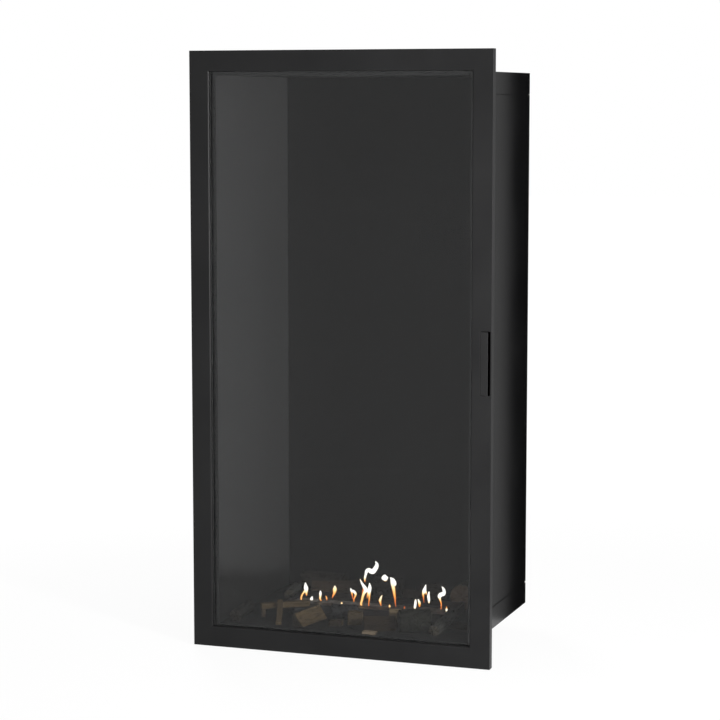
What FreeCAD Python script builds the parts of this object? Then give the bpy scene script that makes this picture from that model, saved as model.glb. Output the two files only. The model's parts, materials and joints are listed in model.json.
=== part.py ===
import FreeCAD, Part
import math
import os
import re
import Sketcher

# Built-in bioethanol fireplace: a tall insulated firebox that goes into a niche, a glazed door that
# covers the niche's edge, an ethanol burner with a sliding snuffer, and a bed of ceramic logs.
# Millimetres. The origin is the middle of the casing's underside, +X is right, +Y goes into the
# wall and +Z is up, so the door faces -Y.

Vector = FreeCAD.Vector
Rotation = FreeCAD.Rotation

SIZES = {
    # Casing: outer box behind the door, without the door
    "casing_width": 520,
    "casing_height": 1070,
    "casing_depth": 384,
    "skin_thickness": 1.5,
    "insulation_thickness": 4,
    "liner_thickness": 1.5,
    "hearth_thickness": 1.5,
    # Casing: the tray's and cap's skirts and the panels between them
    "band_height": 42,
    "low_seam_gap": 2.5,
    "high_seam_gap": 0.8,
    "lap_height": 16,
    "lap_root": 12,
    "back_screw_pitch": 140,
    "back_screw_radius": 1.9,
    "back_screw_reach": 4.5,
    "back_screw_head_radius": 3.5,
    "back_screw_head_height": 1.8,
    "screw_play": 0.1,
    # Casing: air inlets at the back of the floor, outlets in the roof
    "inlet_length": 36,
    "inlet_height": 10,
    "inlet_pitch": 90,
    "inlet_rise": 6,
    "outlet_length": 220,
    "outlet_width": 8,
    "outlet_pitch": 20,
    "outlet_offset": 60,
    # Flange that lies on the wall round the niche, hidden by the door
    "flange_thickness": 2,
    "flange_inset": 8,
    "fixing_edge": 11,
    "fixing_radius": 2.75,
    "fixing_spacing": 700,
    # Door frame: a folded sheet
    "door_overhang": 40,
    "door_thickness": 16,
    "border_width": 40,
    "frame_sheet": 2,
    "relief_reach": 12,
    "relief_depth": 6,
    "notch_play": 1.5,
    # Door glazing: gasket, glass and clamp bars, and the seal that the bars close on
    "gasket_thickness": 1,
    "gasket_width": 6,
    "glass_thickness": 4,
    "glass_lap": 10,
    "bar_thickness": 1.5,
    "bar_offset": 2,
    "bar_edge": 2,
    "strike_width": 28,
    "post_radius": 3,
    "post_bore_radius": 1.5,
    "post_gap": 2,
    "side_post_pitch": 290,
    "cross_post_pitch": 200,
    "bar_screw_reach": 8,
    "bar_screw_head_radius": 2.8,
    "bar_screw_head_height": 1.2,
    "seal_thickness": 2.3,
    "seal_width": 8,
    "seal_play": 0.2,
    "magnet_length": 36,
    "magnet_width": 11,
    "magnet_edge": 1.5,
    "magnet_spacing": 200,
    # Door handle: a strip bent outwards through a slot in the frame
    "handle_length": 118,
    "handle_edge": 21.6,
    "handle_run": 16.5,
    "handle_lift": 8.8,
    "handle_slot_edge": 3,
    "handle_play": 0.2,
    # Hinges at the door's top left and bottom left corners
    "hinge_inset_side": 6,
    "hinge_inset_front": 6.5,
    "pin_radius": 2,
    "pin_play": 0.05,
    "pin_short": 0.5,
    "bush_wall": 1.35,
    "collar_rim": 0.6,
    "collar_play": 0.1,
    "nose_radius": 3.5,
    "ear_thickness": 3,
    "bracket_height": 40,
    "bracket_thickness": 2.5,
    "bracket_gap": 2,
    "hinge_screw_pitch": 20,
    "hinge_screw_radius": 1.5,
    "hinge_screw_head_radius": 2.4,
    "hinge_screw_head_height": 1.2,
    # Burner: a shallow tank filled with ceramic wool, a slotted top and a lid that slides over it
    "flame_length": 320,
    "flame_width": 36,
    "burner_offset": -10,
    "tank_height": 16,
    "tank_wall": 1.2,
    "tank_end": 10,
    "tank_front": 22,
    "tank_back": 4,
    "wick_gap": 0.3,
    "burner_top_thickness": 1.5,
    "burner_rim": 2,
    "lid_thickness": 1.5,
    "lid_lap": 5,
    "lid_play": 0.1,
    "park_gap": 4,
    "rail_width": 3,
    "rail_lip": 5,
    "rail_lip_thickness": 1.8,
    "knob_radius": 5,
    "knob_height": 14,
    "knob_neck_radius": 3.2,
    "knob_neck_height": 8,
    # Logs: the flat that a round one lies on, and the height that the stacked sticks share
    "log_flat": 1,
    "stick_height": 17,
    # Cuts run this far past the faces that they open
    "overrun": 1,
}

# Places and limits that follow from the sizes
DERIVED = {
    "half_width": "casing_width / 2",
    "half_depth": "casing_depth / 2",
    "mid_height": "casing_height / 2",
    "inner_half": "half_width - skin_thickness - insulation_thickness - liner_thickness",
    "inner_back": "half_depth - skin_thickness - insulation_thickness - liner_thickness",
    "inner_high": "casing_height - skin_thickness - insulation_thickness - liner_thickness",
    "liner_half": "inner_half + liner_thickness",
    "liner_back": "inner_back + liner_thickness",
    "skin_half": "half_width - skin_thickness",
    "skin_back": "half_depth - skin_thickness",
    "lap_half": "skin_half - skin_thickness",
    "lap_back": "skin_back - skin_thickness",
    "hearth_top": "skin_thickness + hearth_thickness",
    "panel_low": "band_height + low_seam_gap",
    "panel_high": "casing_height - band_height - high_seam_gap",
    "cap_low": "casing_height - band_height",
    "back_screw_low": "band_height - lap_height / 2",
    "back_screw_high": "casing_height - band_height + lap_height / 2",
    "inlet_low": "hearth_top + inlet_rise",
    "inlet_high": "inlet_low + inlet_height",
    "door_half": "half_width + door_overhang",
    "door_low": "-door_overhang",
    "door_high": "casing_height + door_overhang",
    "door_back": "-half_depth",
    "door_front": "door_back - door_thickness",
    "wall_plane": "door_back + flange_thickness",
    "flange_half": "door_half - flange_inset",
    "flange_low": "door_low + flange_inset",
    "flange_high": "door_high - flange_inset",
    "fixing_side": "flange_half - fixing_edge",
    "sheet_back": "door_front + frame_sheet",
    "opening_half": "door_half - border_width",
    "opening_low": "door_low + border_width",
    "opening_high": "door_high - border_width",
    "seal_front": "door_back - seal_thickness",
    "bar_back": "seal_front - seal_play",
    "glass_back": "bar_back - bar_thickness",
    "gasket_back": "glass_back - glass_thickness",
    "reveal_back": "gasket_back - gasket_thickness",
    "bar_inner": "opening_half + bar_offset",
    "bar_inner_low": "opening_low - bar_offset",
    "bar_inner_high": "opening_high + bar_offset",
    "post_out": "glass_lap + post_gap + post_radius",
    "bar_out": "post_out + post_radius + bar_edge",
    "strike_outer": "bar_inner + strike_width",
    "hinge_x": "hinge_inset_side - door_half",
    "hinge_y": "door_front + hinge_inset_front",
    "bush_radius": "pin_radius + pin_play + bush_wall",
    "collar_radius": "bush_radius + collar_rim",
    "bracket_front": "door_back - bracket_thickness",
    "bracket_right": "-(opening_half + bar_out + bracket_gap)",
    "handle_root": "door_half - handle_edge",
    "handle_tip": "handle_root + handle_run",
    "handle_leg_end": "opening_half + frame_sheet + handle_play",
    "handle_rise": "frame_sheet * sqrt(handle_run ^ 2 + handle_lift ^ 2) / handle_run",
    "slot_front": "burner_offset - flame_width / 2",
    "slot_back": "burner_offset + flame_width / 2",
    "lid_front": "slot_back + park_gap",
    "lid_back": "lid_front + flame_width + 2 * lid_lap",
    "tank_half": "flame_length / 2 + tank_end",
    "tank_fore": "slot_front - tank_front",
    "tank_aft": "lid_back + tank_back",
    "tank_top": "hearth_top + tank_height",
    "burner_top": "tank_top + burner_top_thickness",
    "lid_low": "burner_top + lid_play",
    "lid_high": "lid_low + lid_thickness",
    "lip_low": "lid_high + lid_play",
    "lip_high": "lip_low + rail_lip_thickness",
    "rail_inner": "tank_half - rail_width",
    "lid_half": "rail_inner - 2 * lid_play",
    "front_strip": "tank_fore - wall_plane",
    "rear_strip": "inner_back - tank_aft",
}

# Logs that lie on the hearth: kind, length, width, height, place across the hearth as a share of
# its half width, strip and place in it as a share of the strip's depth, and turn in degrees from +X.
# A round log has its width for a height, and a height given as a name is shared.
LOGS = {
    "left_wall_log": ("round", 90, 26, None, -0.915, "front", 0.46, 95),
    "under_log": ("board", 30, 24, "stick_height", -0.53, "front", 0.821, 125),
    "split_log": ("wedge", 89, 26, 27, -0.349, "front", 0.448, 77),
    "charred_log": ("round", 50, 32, None, -0.126, "front", 0.757, 6),
    "cut_chunk": ("board", 30, 22, 27, 0.006, "front", 0.54, 10),
    "brown_log": ("split", 62, 28, 30, 0.245, "front", 0.335, 20),
    "light_chunk": ("split", 40, 24, 34, 0.335, "front", 0.70, 10),
    "bark_log": ("round", 62, 46, None, 0.51, "front", 0.383, 26),
    "right_wall_log": ("board", 76, 24, 14, 0.816, "front", 0.743, -9),
    "left_rear_log": ("round", 80, 24, None, -0.80, "rear", 0.10, 100),
    "rear_long_log": ("split", 116, 36, 36, -0.44, "rear", 0.34, 19),
    "rear_left_log": ("round", 98, 40, None, -0.645, "rear", 0.77, -2),
    "rear_mid_log": ("round", 60, 42, None, -0.066, "rear", 0.62, 8),
    "rear_right_log": ("split", 44, 24, 32, 0.215, "rear", 0.19, -6),
    "rear_corner_log": ("split", 54, 30, 34, 0.30, "rear", 0.72, 20),
    "right_tall_log": ("round", 96, 54, None, 0.66, "rear", 0.44, 84),
}
# Logs that lie on top of those that share the stick height
STACKED = {"cross_stick": ("board", 100, 16, 11, -0.611, "front", 0.718, 35)}
# Logs that lean from the hearth on another's upper edge: kind, length, width, height, the log that
# carries it, how far along that one from its middle and on which side of it the edge is met, how far
# in front of the edge the foot stands, and turn
LEANING = {
    "front_stick": ("board", 82, 12, 7, "cross_stick", -12, -1, 75, 109),
    "rough_bark_log": ("round", 80, 24, None, "right_wall_log", -17.5, -1, 66, 81),
}
# Loose chips on the hearth, one node for all; the splinter holds up the stacked stick's left end
CHIPS = {
    "flat_lump": ("board", 28, 18, 13, -0.115, "front", 0.36, 12),
    "floor_chip": ("board", 30, 11, 7, 0.215, "front", 0.055, -4),
    "side_splinter": ("board", 16, 8, "stick_height", -0.757, "front", 0.534, 125),
}

# Cross-sections of split and sawn logs, as shares of the width and the height
SECTIONS = {
    "split": ((-0.5, 0), (0.5, 0), (0.5, 0.35), (0.22, 0.86), (-0.12, 1)),
    "board": ((-0.5, 0), (0.5, 0), (0.45, 1), (-0.46, 1)),
    "wedge": ((-0.5, 0), (0.5, 0), (0.46, 0.8), (0.22, 1)),
}

BACK_SCREWS = 4
TRAY_INLETS = 5
LINER_INLETS = TRAY_INLETS - 1
OUTLETS = 5
FIXING_ROWS = 2
MAGNETS = 2
BRACKET_SCREWS = 2
SIDE_POSTS = 4
CROSS_POSTS = 3
SIDES = {"left": -1, "right": 1}

doc = FreeCAD.newDocument("bioethanol_fireplace")
sheet = doc.addObject("Spreadsheet::Sheet", "dims")
pieces = []


# Sheet and expressions
def fill_sheet():
    """Writes each size, then each value worked out from them, into an aliased cell of its own."""
    rows = [(name, str(value)) for name, value in SIZES.items()]
    for name, (_, length, width, height, *_) in {**LOGS, **STACKED, **LEANING, **CHIPS}.items():
        rows += [(f"{name}_length", str(length)), (f"{name}_width", str(width))]
        if isinstance(height, (int, float)):
            rows.append((f"{name}_height", str(height)))
    for name, (*_, along, _, run, _) in LEANING.items():
        rows += [(f"{name}_along", str(along)), (f"{name}_run", str(run))]
    rows += [(name, f"={formula}") for name, formula in DERIVED.items()]
    rows += [(f"{name}_lean", f"={lean_formula(name)}") for name in LEANING]
    for number, (name, content) in enumerate(rows, start=1):
        sheet.set(f"A{number}", name)
        sheet.set(f"B{number}", content)
        sheet.setAlias(f"B{number}", name)
    doc.recompute()


def ex(formula):
    """The formula with the sheet's name put before each of its cells."""
    return re.sub(r"[a-z_]{2,}", r"dims.\g<0>", formula)


def spread(count, pitch):
    """Formulas of evenly spaced places about zero."""
    return [f"{number - (count - 1) / 2} * {pitch}" for number in range(count)]


def mirrored(sign, low, high):
    """Limits on the right side of the middle, or their mirror image on the left."""
    return (low, high) if sign > 0 else (f"-({high})", f"-({low})")


def both(half):
    """Limits that lie evenly about the middle."""
    return f"-({half})", half


def about(place, half):
    """Limits that lie evenly about a place."""
    return f"{place} - {half}", f"{place} + {half}"


def past(limits):
    """Limits for a cut that opens both faces."""
    return f"{limits[0]} - overrun", f"{limits[1]} + overrun"


# Shapes
def piece(label, shape):
    """Names a finished sub-part and puts it on the list of what is written out."""
    shape.Label = label
    pieces.append(shape)
    return shape


def block(name, xs, ys, zs):
    """A block between two limits on each axis."""
    box = doc.addObject("Part::Box", name)
    for size, axis, (low, high) in (("Length", "x", xs), ("Width", "y", ys), ("Height", "z", zs)):
        box.setExpression(size, ex(f"({high}) - ({low})"))
        box.setExpression(f"Placement.Base.{axis}", ex(low))
    return box


def rod(name, axis, radius, limits, centre):
    """A round bar along Y or Z between two limits, with its centre on the other two axes."""
    bar = doc.addObject("Part::Cylinder", name)
    low, high = limits
    if axis == "y":
        bar.Placement.Rotation = Rotation(Vector(1, 0, 0), -90)
        base = {"x": centre[0], "y": low, "z": centre[1]}
    else:
        base = {"x": centre[0], "y": centre[1], "z": low}
    bar.setExpression("Radius", ex(radius))
    bar.setExpression("Height", ex(f"({high}) - ({low})"))
    for letter, formula in base.items():
        bar.setExpression(f"Placement.Base.{letter}", ex(formula))
    return bar


def fuse(name, *shapes):
    joined = doc.addObject("Part::MultiFuse", name)
    joined.Shapes = list(shapes)
    joined.Refine = True
    return joined


def cut(name, base, *tools):
    removed = doc.addObject("Part::Cut", name)
    removed.Base = base
    removed.Tool = tools[0] if len(tools) == 1 else fuse(f"{name}_cuts", *tools)
    return removed


def group(name, *shapes):
    """Separate solids that share one node."""
    together = doc.addObject("Part::Compound", name)
    together.Links = list(shapes)
    return together


def ring(name, outer, inner, ys):
    """An upright rectangular ring; outer and inner each give X limits and Z limits."""
    return cut(name, block(f"{name}_outer", outer[0], ys, outer[1]),
               block(f"{name}_inner", inner[0], past(ys), inner[1]))


def sheet_value(formula):
    """What a formula of the sheet's names comes to now, for a sketch's first drawing."""
    return float(sheet.evalExpression(ex(formula)))


def bind(sketch, kind, formula, *where):
    """Adds a sketch dimension whose value is a formula of the sheet's names."""
    number = sketch.addConstraint(Sketcher.Constraint(kind, *where, sheet_value(formula)))
    sketch.setExpression(f"Constraints[{number}]", ex(formula))


def draw_outline(sketch, points):
    """A closed outline of straight lines; each point is two formulas."""
    corners = [Vector(sheet_value(across), sheet_value(up), 0) for across, up in points]
    for number, corner in enumerate(corners):
        sketch.addGeometry(Part.LineSegment(corner, corners[(number + 1) % len(corners)]), False)
    for number, (across, up) in enumerate(points):
        before = (number - 1) % len(points)
        sketch.addConstraint(Sketcher.Constraint("Coincident", before, 2, number, 1))
        bind(sketch, "DistanceX", across, -1, 1, number, 1)
        bind(sketch, "DistanceY", up, -1, 1, number, 1)


def draw_round(sketch, width):
    """A circle that is cut flat at the bottom, with the flat on the sketch's X axis."""
    radius = sheet_value(width) / 2
    rise = radius - sheet_value("log_flat")
    low = -math.asin(rise / radius)
    circle = Part.Circle(Vector(0, rise, 0), Vector(0, 0, 1), radius)
    arc = sketch.addGeometry(Part.ArcOfCircle(circle, low, math.pi - low), False)
    ends = [Vector(side * radius * math.cos(low), 0, 0) for side in (-1, 1)]
    flat = sketch.addGeometry(Part.LineSegment(*ends), False)
    sketch.addConstraint(Sketcher.Constraint("Coincident", arc, 2, flat, 1))
    sketch.addConstraint(Sketcher.Constraint("Coincident", flat, 2, arc, 1))
    sketch.addConstraint(Sketcher.Constraint("PointOnObject", arc, 3, -2))
    sketch.addConstraint(Sketcher.Constraint("PointOnObject", flat, 1, -1))
    sketch.addConstraint(Sketcher.Constraint("PointOnObject", flat, 2, -1))
    bind(sketch, "DistanceY", f"{width} / 2 - log_flat", -1, 1, arc, 3)
    bind(sketch, "Radius", f"{width} / 2", arc)


def padded(name, plane, draw, outline, length, start):
    """A body padded from an outline on one of its origin planes, from start along the plane's normal."""
    body = doc.addObject("PartDesign::Body", name)
    sketch = body.newObject("Sketcher::SketchObject", f"{name}_outline")
    support = [feature for feature in body.Origin.OriginFeatures if feature.Role == plane]
    sketch.AttachmentSupport = [(support[0], "")]
    sketch.MapMode = "FlatFace"
    sketch.setExpression("AttachmentOffset.Base.z", ex(start))
    draw(sketch, outline)
    pad = body.newObject("PartDesign::Pad", f"{name}_pad")
    pad.Profile = sketch
    pad.setExpression("Length", ex(length))
    return body


# Casing
def make_tray_and_cap():
    """Folded tray below and cap above, each open to the front, with air slots and screw holes."""
    roof_low = "casing_height - skin_thickness"
    skirts = {
        "base_tray": {"levels": ("0", "band_height"),
                      "hollow": ("skin_thickness", "band_height + overrun"),
                      "slots": inlets("base_tray", past(("skin_back", "half_depth")), TRAY_INLETS),
                      "screws": "back_screw_low"},
        "top_cap": {"levels": ("cap_low", "casing_height"),
                    "hollow": ("cap_low - overrun", roof_low),
                    "slots": outlets("top_cap", past((roof_low, "casing_height"))),
                    "screws": "back_screw_high"},
    }
    for name, skirt in skirts.items():
        shell = block(f"{name}_shell", both("half_width"), ("wall_plane", "half_depth"), skirt["levels"])
        inside = block(f"{name}_inside", both("skin_half"), ("wall_plane - overrun", "skin_back"),
                       skirt["hollow"])
        holes = back_screw_holes(name, skirt["screws"])
        piece(name, cut(name, shell, inside, *skirt["slots"], *holes))


def back_screw_holes(name, level):
    depth = ("lap_back - overrun", "half_depth + overrun")
    return [rod(f"{name}_hole", "y", "back_screw_radius + screw_play", depth, (place, level))
            for place in spread(BACK_SCREWS, "back_screw_pitch")]


def inlets(name, depth, count):
    """A row of air slots low in the back; a row of one fewer stands between the others' slots."""
    levels = ("inlet_low", "inlet_high")
    return [block(f"{name}_inlet", about(place, "inlet_length / 2"), depth, levels)
            for place in spread(count, "inlet_pitch")]


def outlets(name, levels):
    """A row of air slots in the roof."""
    return [block(f"{name}_outlet", both("outlet_length / 2"),
                  about(f"outlet_offset + {place}", "outlet_width / 2"), levels)
            for place in spread(OUTLETS, "outlet_pitch")]


def make_panels():
    """Side and back sheets between the skirts, each with a lap that goes behind the skirts."""
    laps = (("band_height - lap_height", "panel_low + lap_root"),
            ("panel_high - lap_root", "cap_low + lap_height"))
    span = ("panel_low", "panel_high")
    for side, sign in SIDES.items():
        name = f"{side}_side_panel"
        skin, lap = mirrored(sign, "skin_half", "half_width"), mirrored(sign, "lap_half", "skin_half")
        wall = block(f"{name}_sheet", skin, ("wall_plane", "skin_back"), span)
        folds = [block(f"{name}_lap", lap, ("wall_plane", "lap_back"), levels) for levels in laps]
        piece(name, fuse(name, wall, *folds))
    wall = block("back_panel_sheet", both("half_width"), ("skin_back", "half_depth"), span)
    folds = [block("back_panel_lap", both("lap_half"), ("lap_back", "skin_back"), levels) for levels in laps]
    holes, screws = [], []
    for level in ("back_screw_low", "back_screw_high"):
        holes += back_screw_holes("back_panel", level)
        for place in spread(BACK_SCREWS, "back_screw_pitch"):
            screws.append(screw("back_screw", "half_depth", "back_screw_radius", (place, level)))
    piece("back_panel", cut("back_panel", fuse("back_panel_sheets", wall, *folds), *holes))
    piece("back_screws", group("back_screws", *screws))


def screw(name, seat, radius, centre):
    """A screw that goes in along -Y, with its head standing on the seat."""
    head = rod(f"{name}_head", "y", f"{name}_head_radius", (seat, f"{seat} + {name}_head_height"), centre)
    shank = rod(f"{name}_shank", "y", radius, (f"{seat} - {name}_reach", seat), centre)
    return fuse(name, head, shank)


def make_walls():
    """Insulation boards against the skins, and the liners that line the firebox."""
    board_levels = ("panel_low + lap_root", "panel_high - lap_root")
    wall_levels = ("hearth_top", "inner_high")
    for side, sign in SIDES.items():
        board, wall = mirrored(sign, "liner_half", "skin_half"), mirrored(sign, "inner_half", "liner_half")
        name = f"{side}_insulation"
        piece(name, block(name, board, ("wall_plane", "liner_back"), board_levels))
        name = f"{side}_liner"
        piece(name, block(name, wall, ("wall_plane", "inner_back"), wall_levels))
    name = "back_insulation"
    piece(name, block(name, both("skin_half"), ("liner_back", "skin_back"), board_levels))
    depth = ("inner_back", "liner_back")
    back = block("back_liner_sheet", both("liner_half"), depth, wall_levels)
    piece("back_liner", cut("back_liner", back, *inlets("back_liner", past(depth), LINER_INLETS)))
    levels = ("inner_high", "inner_high + liner_thickness")
    roof = block("top_liner_sheet", both("liner_half"), ("wall_plane", "liner_back"), levels)
    piece("top_liner", cut("top_liner", roof, *outlets("top_liner", past(levels))))
    floor = ("skin_thickness", "hearth_top")
    piece("hearth_plate", block("hearth_plate", both("skin_half"), ("wall_plane", "skin_back"), floor))


def make_flange():
    """The ring that lies on the wall, with the wall screws' holes and the hinge brackets' holes."""
    depth = ("door_back", "wall_plane")
    plate = ring("front_flange_sheet", (both("flange_half"), ("flange_low", "flange_high")),
                 (both("inner_half"), ("hearth_top", "inner_high")), depth)
    fixings = [rod("fixing_hole", "y", "fixing_radius", past(depth), (side, f"mid_height + {rise}"))
               for side in both("fixing_side") for rise in spread(FIXING_ROWS, "fixing_spacing")]
    threads = [rod("bracket_thread", "y", "hinge_screw_radius", past(depth), place)
               for levels in HINGES.values() for place in bracket_screw_places(levels)]
    piece("front_flange", cut("front_flange", plate, *fixings, *threads))
    depth = ("seal_front", "door_back")
    inner = (both("bar_inner"), ("bar_inner_low", "bar_inner_high"))
    outer = (both("bar_inner + seal_width"), ("bar_inner_low - seal_width", "bar_inner_high + seal_width"))
    piece("door_seal", ring("door_seal", outer, inner, depth))
    edge = "flange_half - magnet_edge"
    magnets = [block("catch_magnet", (f"{edge} - magnet_width", edge), depth,
                     about(f"mid_height + {rise}", "magnet_length / 2"))
               for rise in spread(MAGNETS, "magnet_spacing")]
    piece("catch_magnets", group("catch_magnets", *magnets))


# Hinges: the upper bracket stands on the flange's top edge, the lower one hangs from its bottom edge
HINGES = {
    "upper": {"plate": ("flange_high - bracket_height", "flange_high + ear_thickness"),
              "ear": ("flange_high", "flange_high + ear_thickness"),
              "pin": ("flange_high", "door_high - pin_short"),
              "collar": ("flange_high + ear_thickness + collar_play", "door_high - frame_sheet"),
              "sleeve": ("door_high - frame_sheet", "door_high"),
              "middle": "flange_high - bracket_height / 2"},
    "lower": {"plate": ("flange_low - ear_thickness", "flange_low + bracket_height"),
              "ear": ("flange_low - ear_thickness", "flange_low"),
              "pin": ("door_low + pin_short", "flange_low"),
              "collar": ("door_low + frame_sheet", "flange_low - ear_thickness - collar_play"),
              "sleeve": ("door_low", "door_low + frame_sheet"),
              "middle": "flange_low + bracket_height / 2"},
}
AXIS = ("hinge_x", "hinge_y")


def bracket_screw_places(levels):
    """Where a bracket's screws go, on X and Z."""
    return [("(bracket_right - flange_half) / 2", f"{levels['middle']} + {rise}")
            for rise in spread(BRACKET_SCREWS, "hinge_screw_pitch")]


def make_hinges():
    """Angle brackets with an ear for the pin, the pins, the screws and the bushes in the door."""
    depth = ("bracket_front", "door_back")
    seat = "bracket_front + hinge_screw_head_height"
    nose = about("hinge_x", "nose_radius")
    pins, screws = [], []
    for end, levels in HINGES.items():
        name = f"{end}_hinge_bracket"
        solid = fuse(f"{name}_solid",
                     block(f"{name}_plate", ("-flange_half", "bracket_right"), depth, levels["plate"]),
                     block(f"{name}_bend", (nose[0], "bracket_right"), depth, levels["ear"]),
                     block(f"{name}_arm", nose, ("hinge_y", "door_back"), levels["ear"]),
                     rod(f"{name}_nose", "z", "nose_radius", levels["ear"], AXIS))
        holes = [rod(f"{name}_eye", "z", "pin_radius", past(levels["ear"]), AXIS)]
        for place in bracket_screw_places(levels):
            holes.append(rod(f"{name}_hole", "y", "hinge_screw_radius + screw_play", past(depth), place))
            holes.append(rod(f"{name}_recess", "y", "hinge_screw_head_radius + screw_play",
                             ("bracket_front - overrun", seat), place))
            head = rod("hinge_screw_head", "y", "hinge_screw_head_radius", ("bracket_front", seat), place)
            shank = rod("hinge_screw_shank", "y", "hinge_screw_radius", (seat, "wall_plane"), place)
            screws.append(fuse("hinge_screw", head, shank))
        piece(name, cut(name, solid, *holes))
        name = f"{end}_hinge_bush"
        bush = fuse(f"{name}_solid", rod(f"{name}_collar", "z", "collar_radius", levels["collar"], AXIS),
                    rod(f"{name}_sleeve", "z", "bush_radius", levels["sleeve"], AXIS))
        bore = rod(f"{name}_bore", "z", "pin_radius + pin_play", past(levels["pin"]), AXIS)
        piece(name, cut(name, bush, bore))
        pins.append(rod(f"{end}_pin", "z", "pin_radius", levels["pin"], AXIS))
    piece("hinge_pins", group("hinge_pins", *pins))
    piece("hinge_screws", group("hinge_screws", *screws))


# Door
def make_door_frame():
    """A pan folded from one sheet, with the glass opening and its reveal, relieved on the hinge side."""
    depth, height = ("door_front", "door_back"), ("door_low", "door_high")
    behind = ("sheet_back", "door_back + overrun")
    opening = (both("opening_half"), ("opening_low", "opening_high"))
    inside = ("door_low + frame_sheet", "door_high - frame_sheet")
    pan = block("frame_pan", both("door_half"), depth, height)
    hollow = block("frame_hollow", both("door_half - frame_sheet"), behind, inside)
    window = block("frame_window", opening[0], past(depth), opening[1])
    relief = block("frame_relief", ("-door_half - overrun", "relief_reach - door_half"),
                   ("door_back - relief_depth", behind[1]), past(height))
    left_return = ("-door_half - overrun", "frame_sheet - door_half")
    notches = [block("frame_notch", left_return, behind, levels)
               for levels in ((inside[0], "flange_low + notch_play"),
                              ("flange_high - notch_play", inside[1]))]
    slot = block("frame_slot", ("handle_root - handle_play", "door_half - handle_slot_edge"),
                 past(("door_front", "sheet_back")), about("mid_height", "(handle_length / 2 + handle_play)"))
    eyes = [rod("frame_eye", "z", "bush_radius", past(levels["sleeve"]), AXIS) for levels in HINGES.values()]
    folded = cut("frame_folded", pan, hollow, window, relief, slot, *notches, *eyes)
    outside = (both("opening_half + frame_sheet"),
               ("opening_low - frame_sheet", "opening_high + frame_sheet"))
    reveal = ring("frame_reveal", outside, opening, ("sheet_back", "reveal_back"))
    piece("door_frame", fuse("door_frame", folded, reveal))


def make_handle():
    """A strip welded behind the frame that steps through the slot and slopes outwards to its free edge."""
    slope = "handle_lift * frame_sheet / handle_run"
    outline = (("handle_leg_end", "sheet_back"),
               ("handle_root", "sheet_back"),
               ("handle_root", "door_front"),
               ("handle_tip", "door_front - handle_lift"),
               ("handle_tip", "door_front - handle_lift + handle_rise"),
               ("handle_root + frame_sheet", f"door_front - {slope} + handle_rise"),
               ("handle_root + frame_sheet", "sheet_back + frame_sheet"),
               ("handle_leg_end", "sheet_back + frame_sheet"))
    piece("door_handle", padded("door_handle", "XY_Plane", draw_outline, outline, "handle_length",
                                "mid_height - handle_length / 2"))


def post_places():
    """Where each clamp bar's screws go, on X and Z."""
    rows = {side: [(f"{sign} * (opening_half + post_out)", f"mid_height + {rise}")
                   for rise in spread(SIDE_POSTS, "side_post_pitch")]
            for side, sign in SIDES.items()}
    across = spread(CROSS_POSTS, "cross_post_pitch")
    rows["top"] = [(place, "opening_high + post_out") for place in across]
    rows["bottom"] = [(place, "opening_low - post_out") for place in across]
    return rows


def make_glazing():
    """Gasket, glass, and the bars that clamp it, screwed to posts behind the frame."""
    inner = (both("opening_half"), ("opening_low", "opening_high"))
    outer = (both("opening_half + gasket_width"),
             ("opening_low - gasket_width", "opening_high + gasket_width"))
    piece("glass_gasket", ring("glass_gasket", outer, inner, ("reveal_back", "gasket_back")))
    pane = (both("opening_half + glass_lap"), ("opening_low - glass_lap", "opening_high + glass_lap"))
    piece("door_glass", block("door_glass", pane[0], ("gasket_back", "glass_back"), pane[1]))
    depth = ("glass_back", "bar_back")
    side_levels = ("opening_low - bar_out", "opening_high + bar_out")
    bars = {
        "left": block("left_bar", ("-(opening_half + bar_out)", "-bar_inner"), depth, side_levels),
        "right": block("right_bar", ("bar_inner", "strike_outer"), depth, side_levels),
        "top": block("top_bar", both("bar_inner"), depth, ("bar_inner_high", "opening_high + bar_out")),
        "bottom": block("bottom_bar", both("bar_inner"), depth, ("opening_low - bar_out", "bar_inner_low")),
    }
    posts, screws = [], []
    for side, places in post_places().items():
        holes = []
        for place in places:
            holes.append(rod("bar_hole", "y", "post_bore_radius", past(depth), place))
            post = rod("post_bar", "y", "post_radius", ("sheet_back", "glass_back"), place)
            bore = rod("post_bore", "y", "post_bore_radius",
                       ("bar_back - bar_screw_reach - screw_play", "bar_back"), place)
            posts.append(cut("post", post, bore))
            screws.append(screw("bar_screw", "bar_back", "post_bore_radius - screw_play", place))
        piece(f"{side}_glass_bar", cut(f"{side}_glass_bar", bars[side], *holes))
    piece("bar_posts", group("bar_posts", *posts))
    piece("bar_screws", group("bar_screws", *screws))


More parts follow.
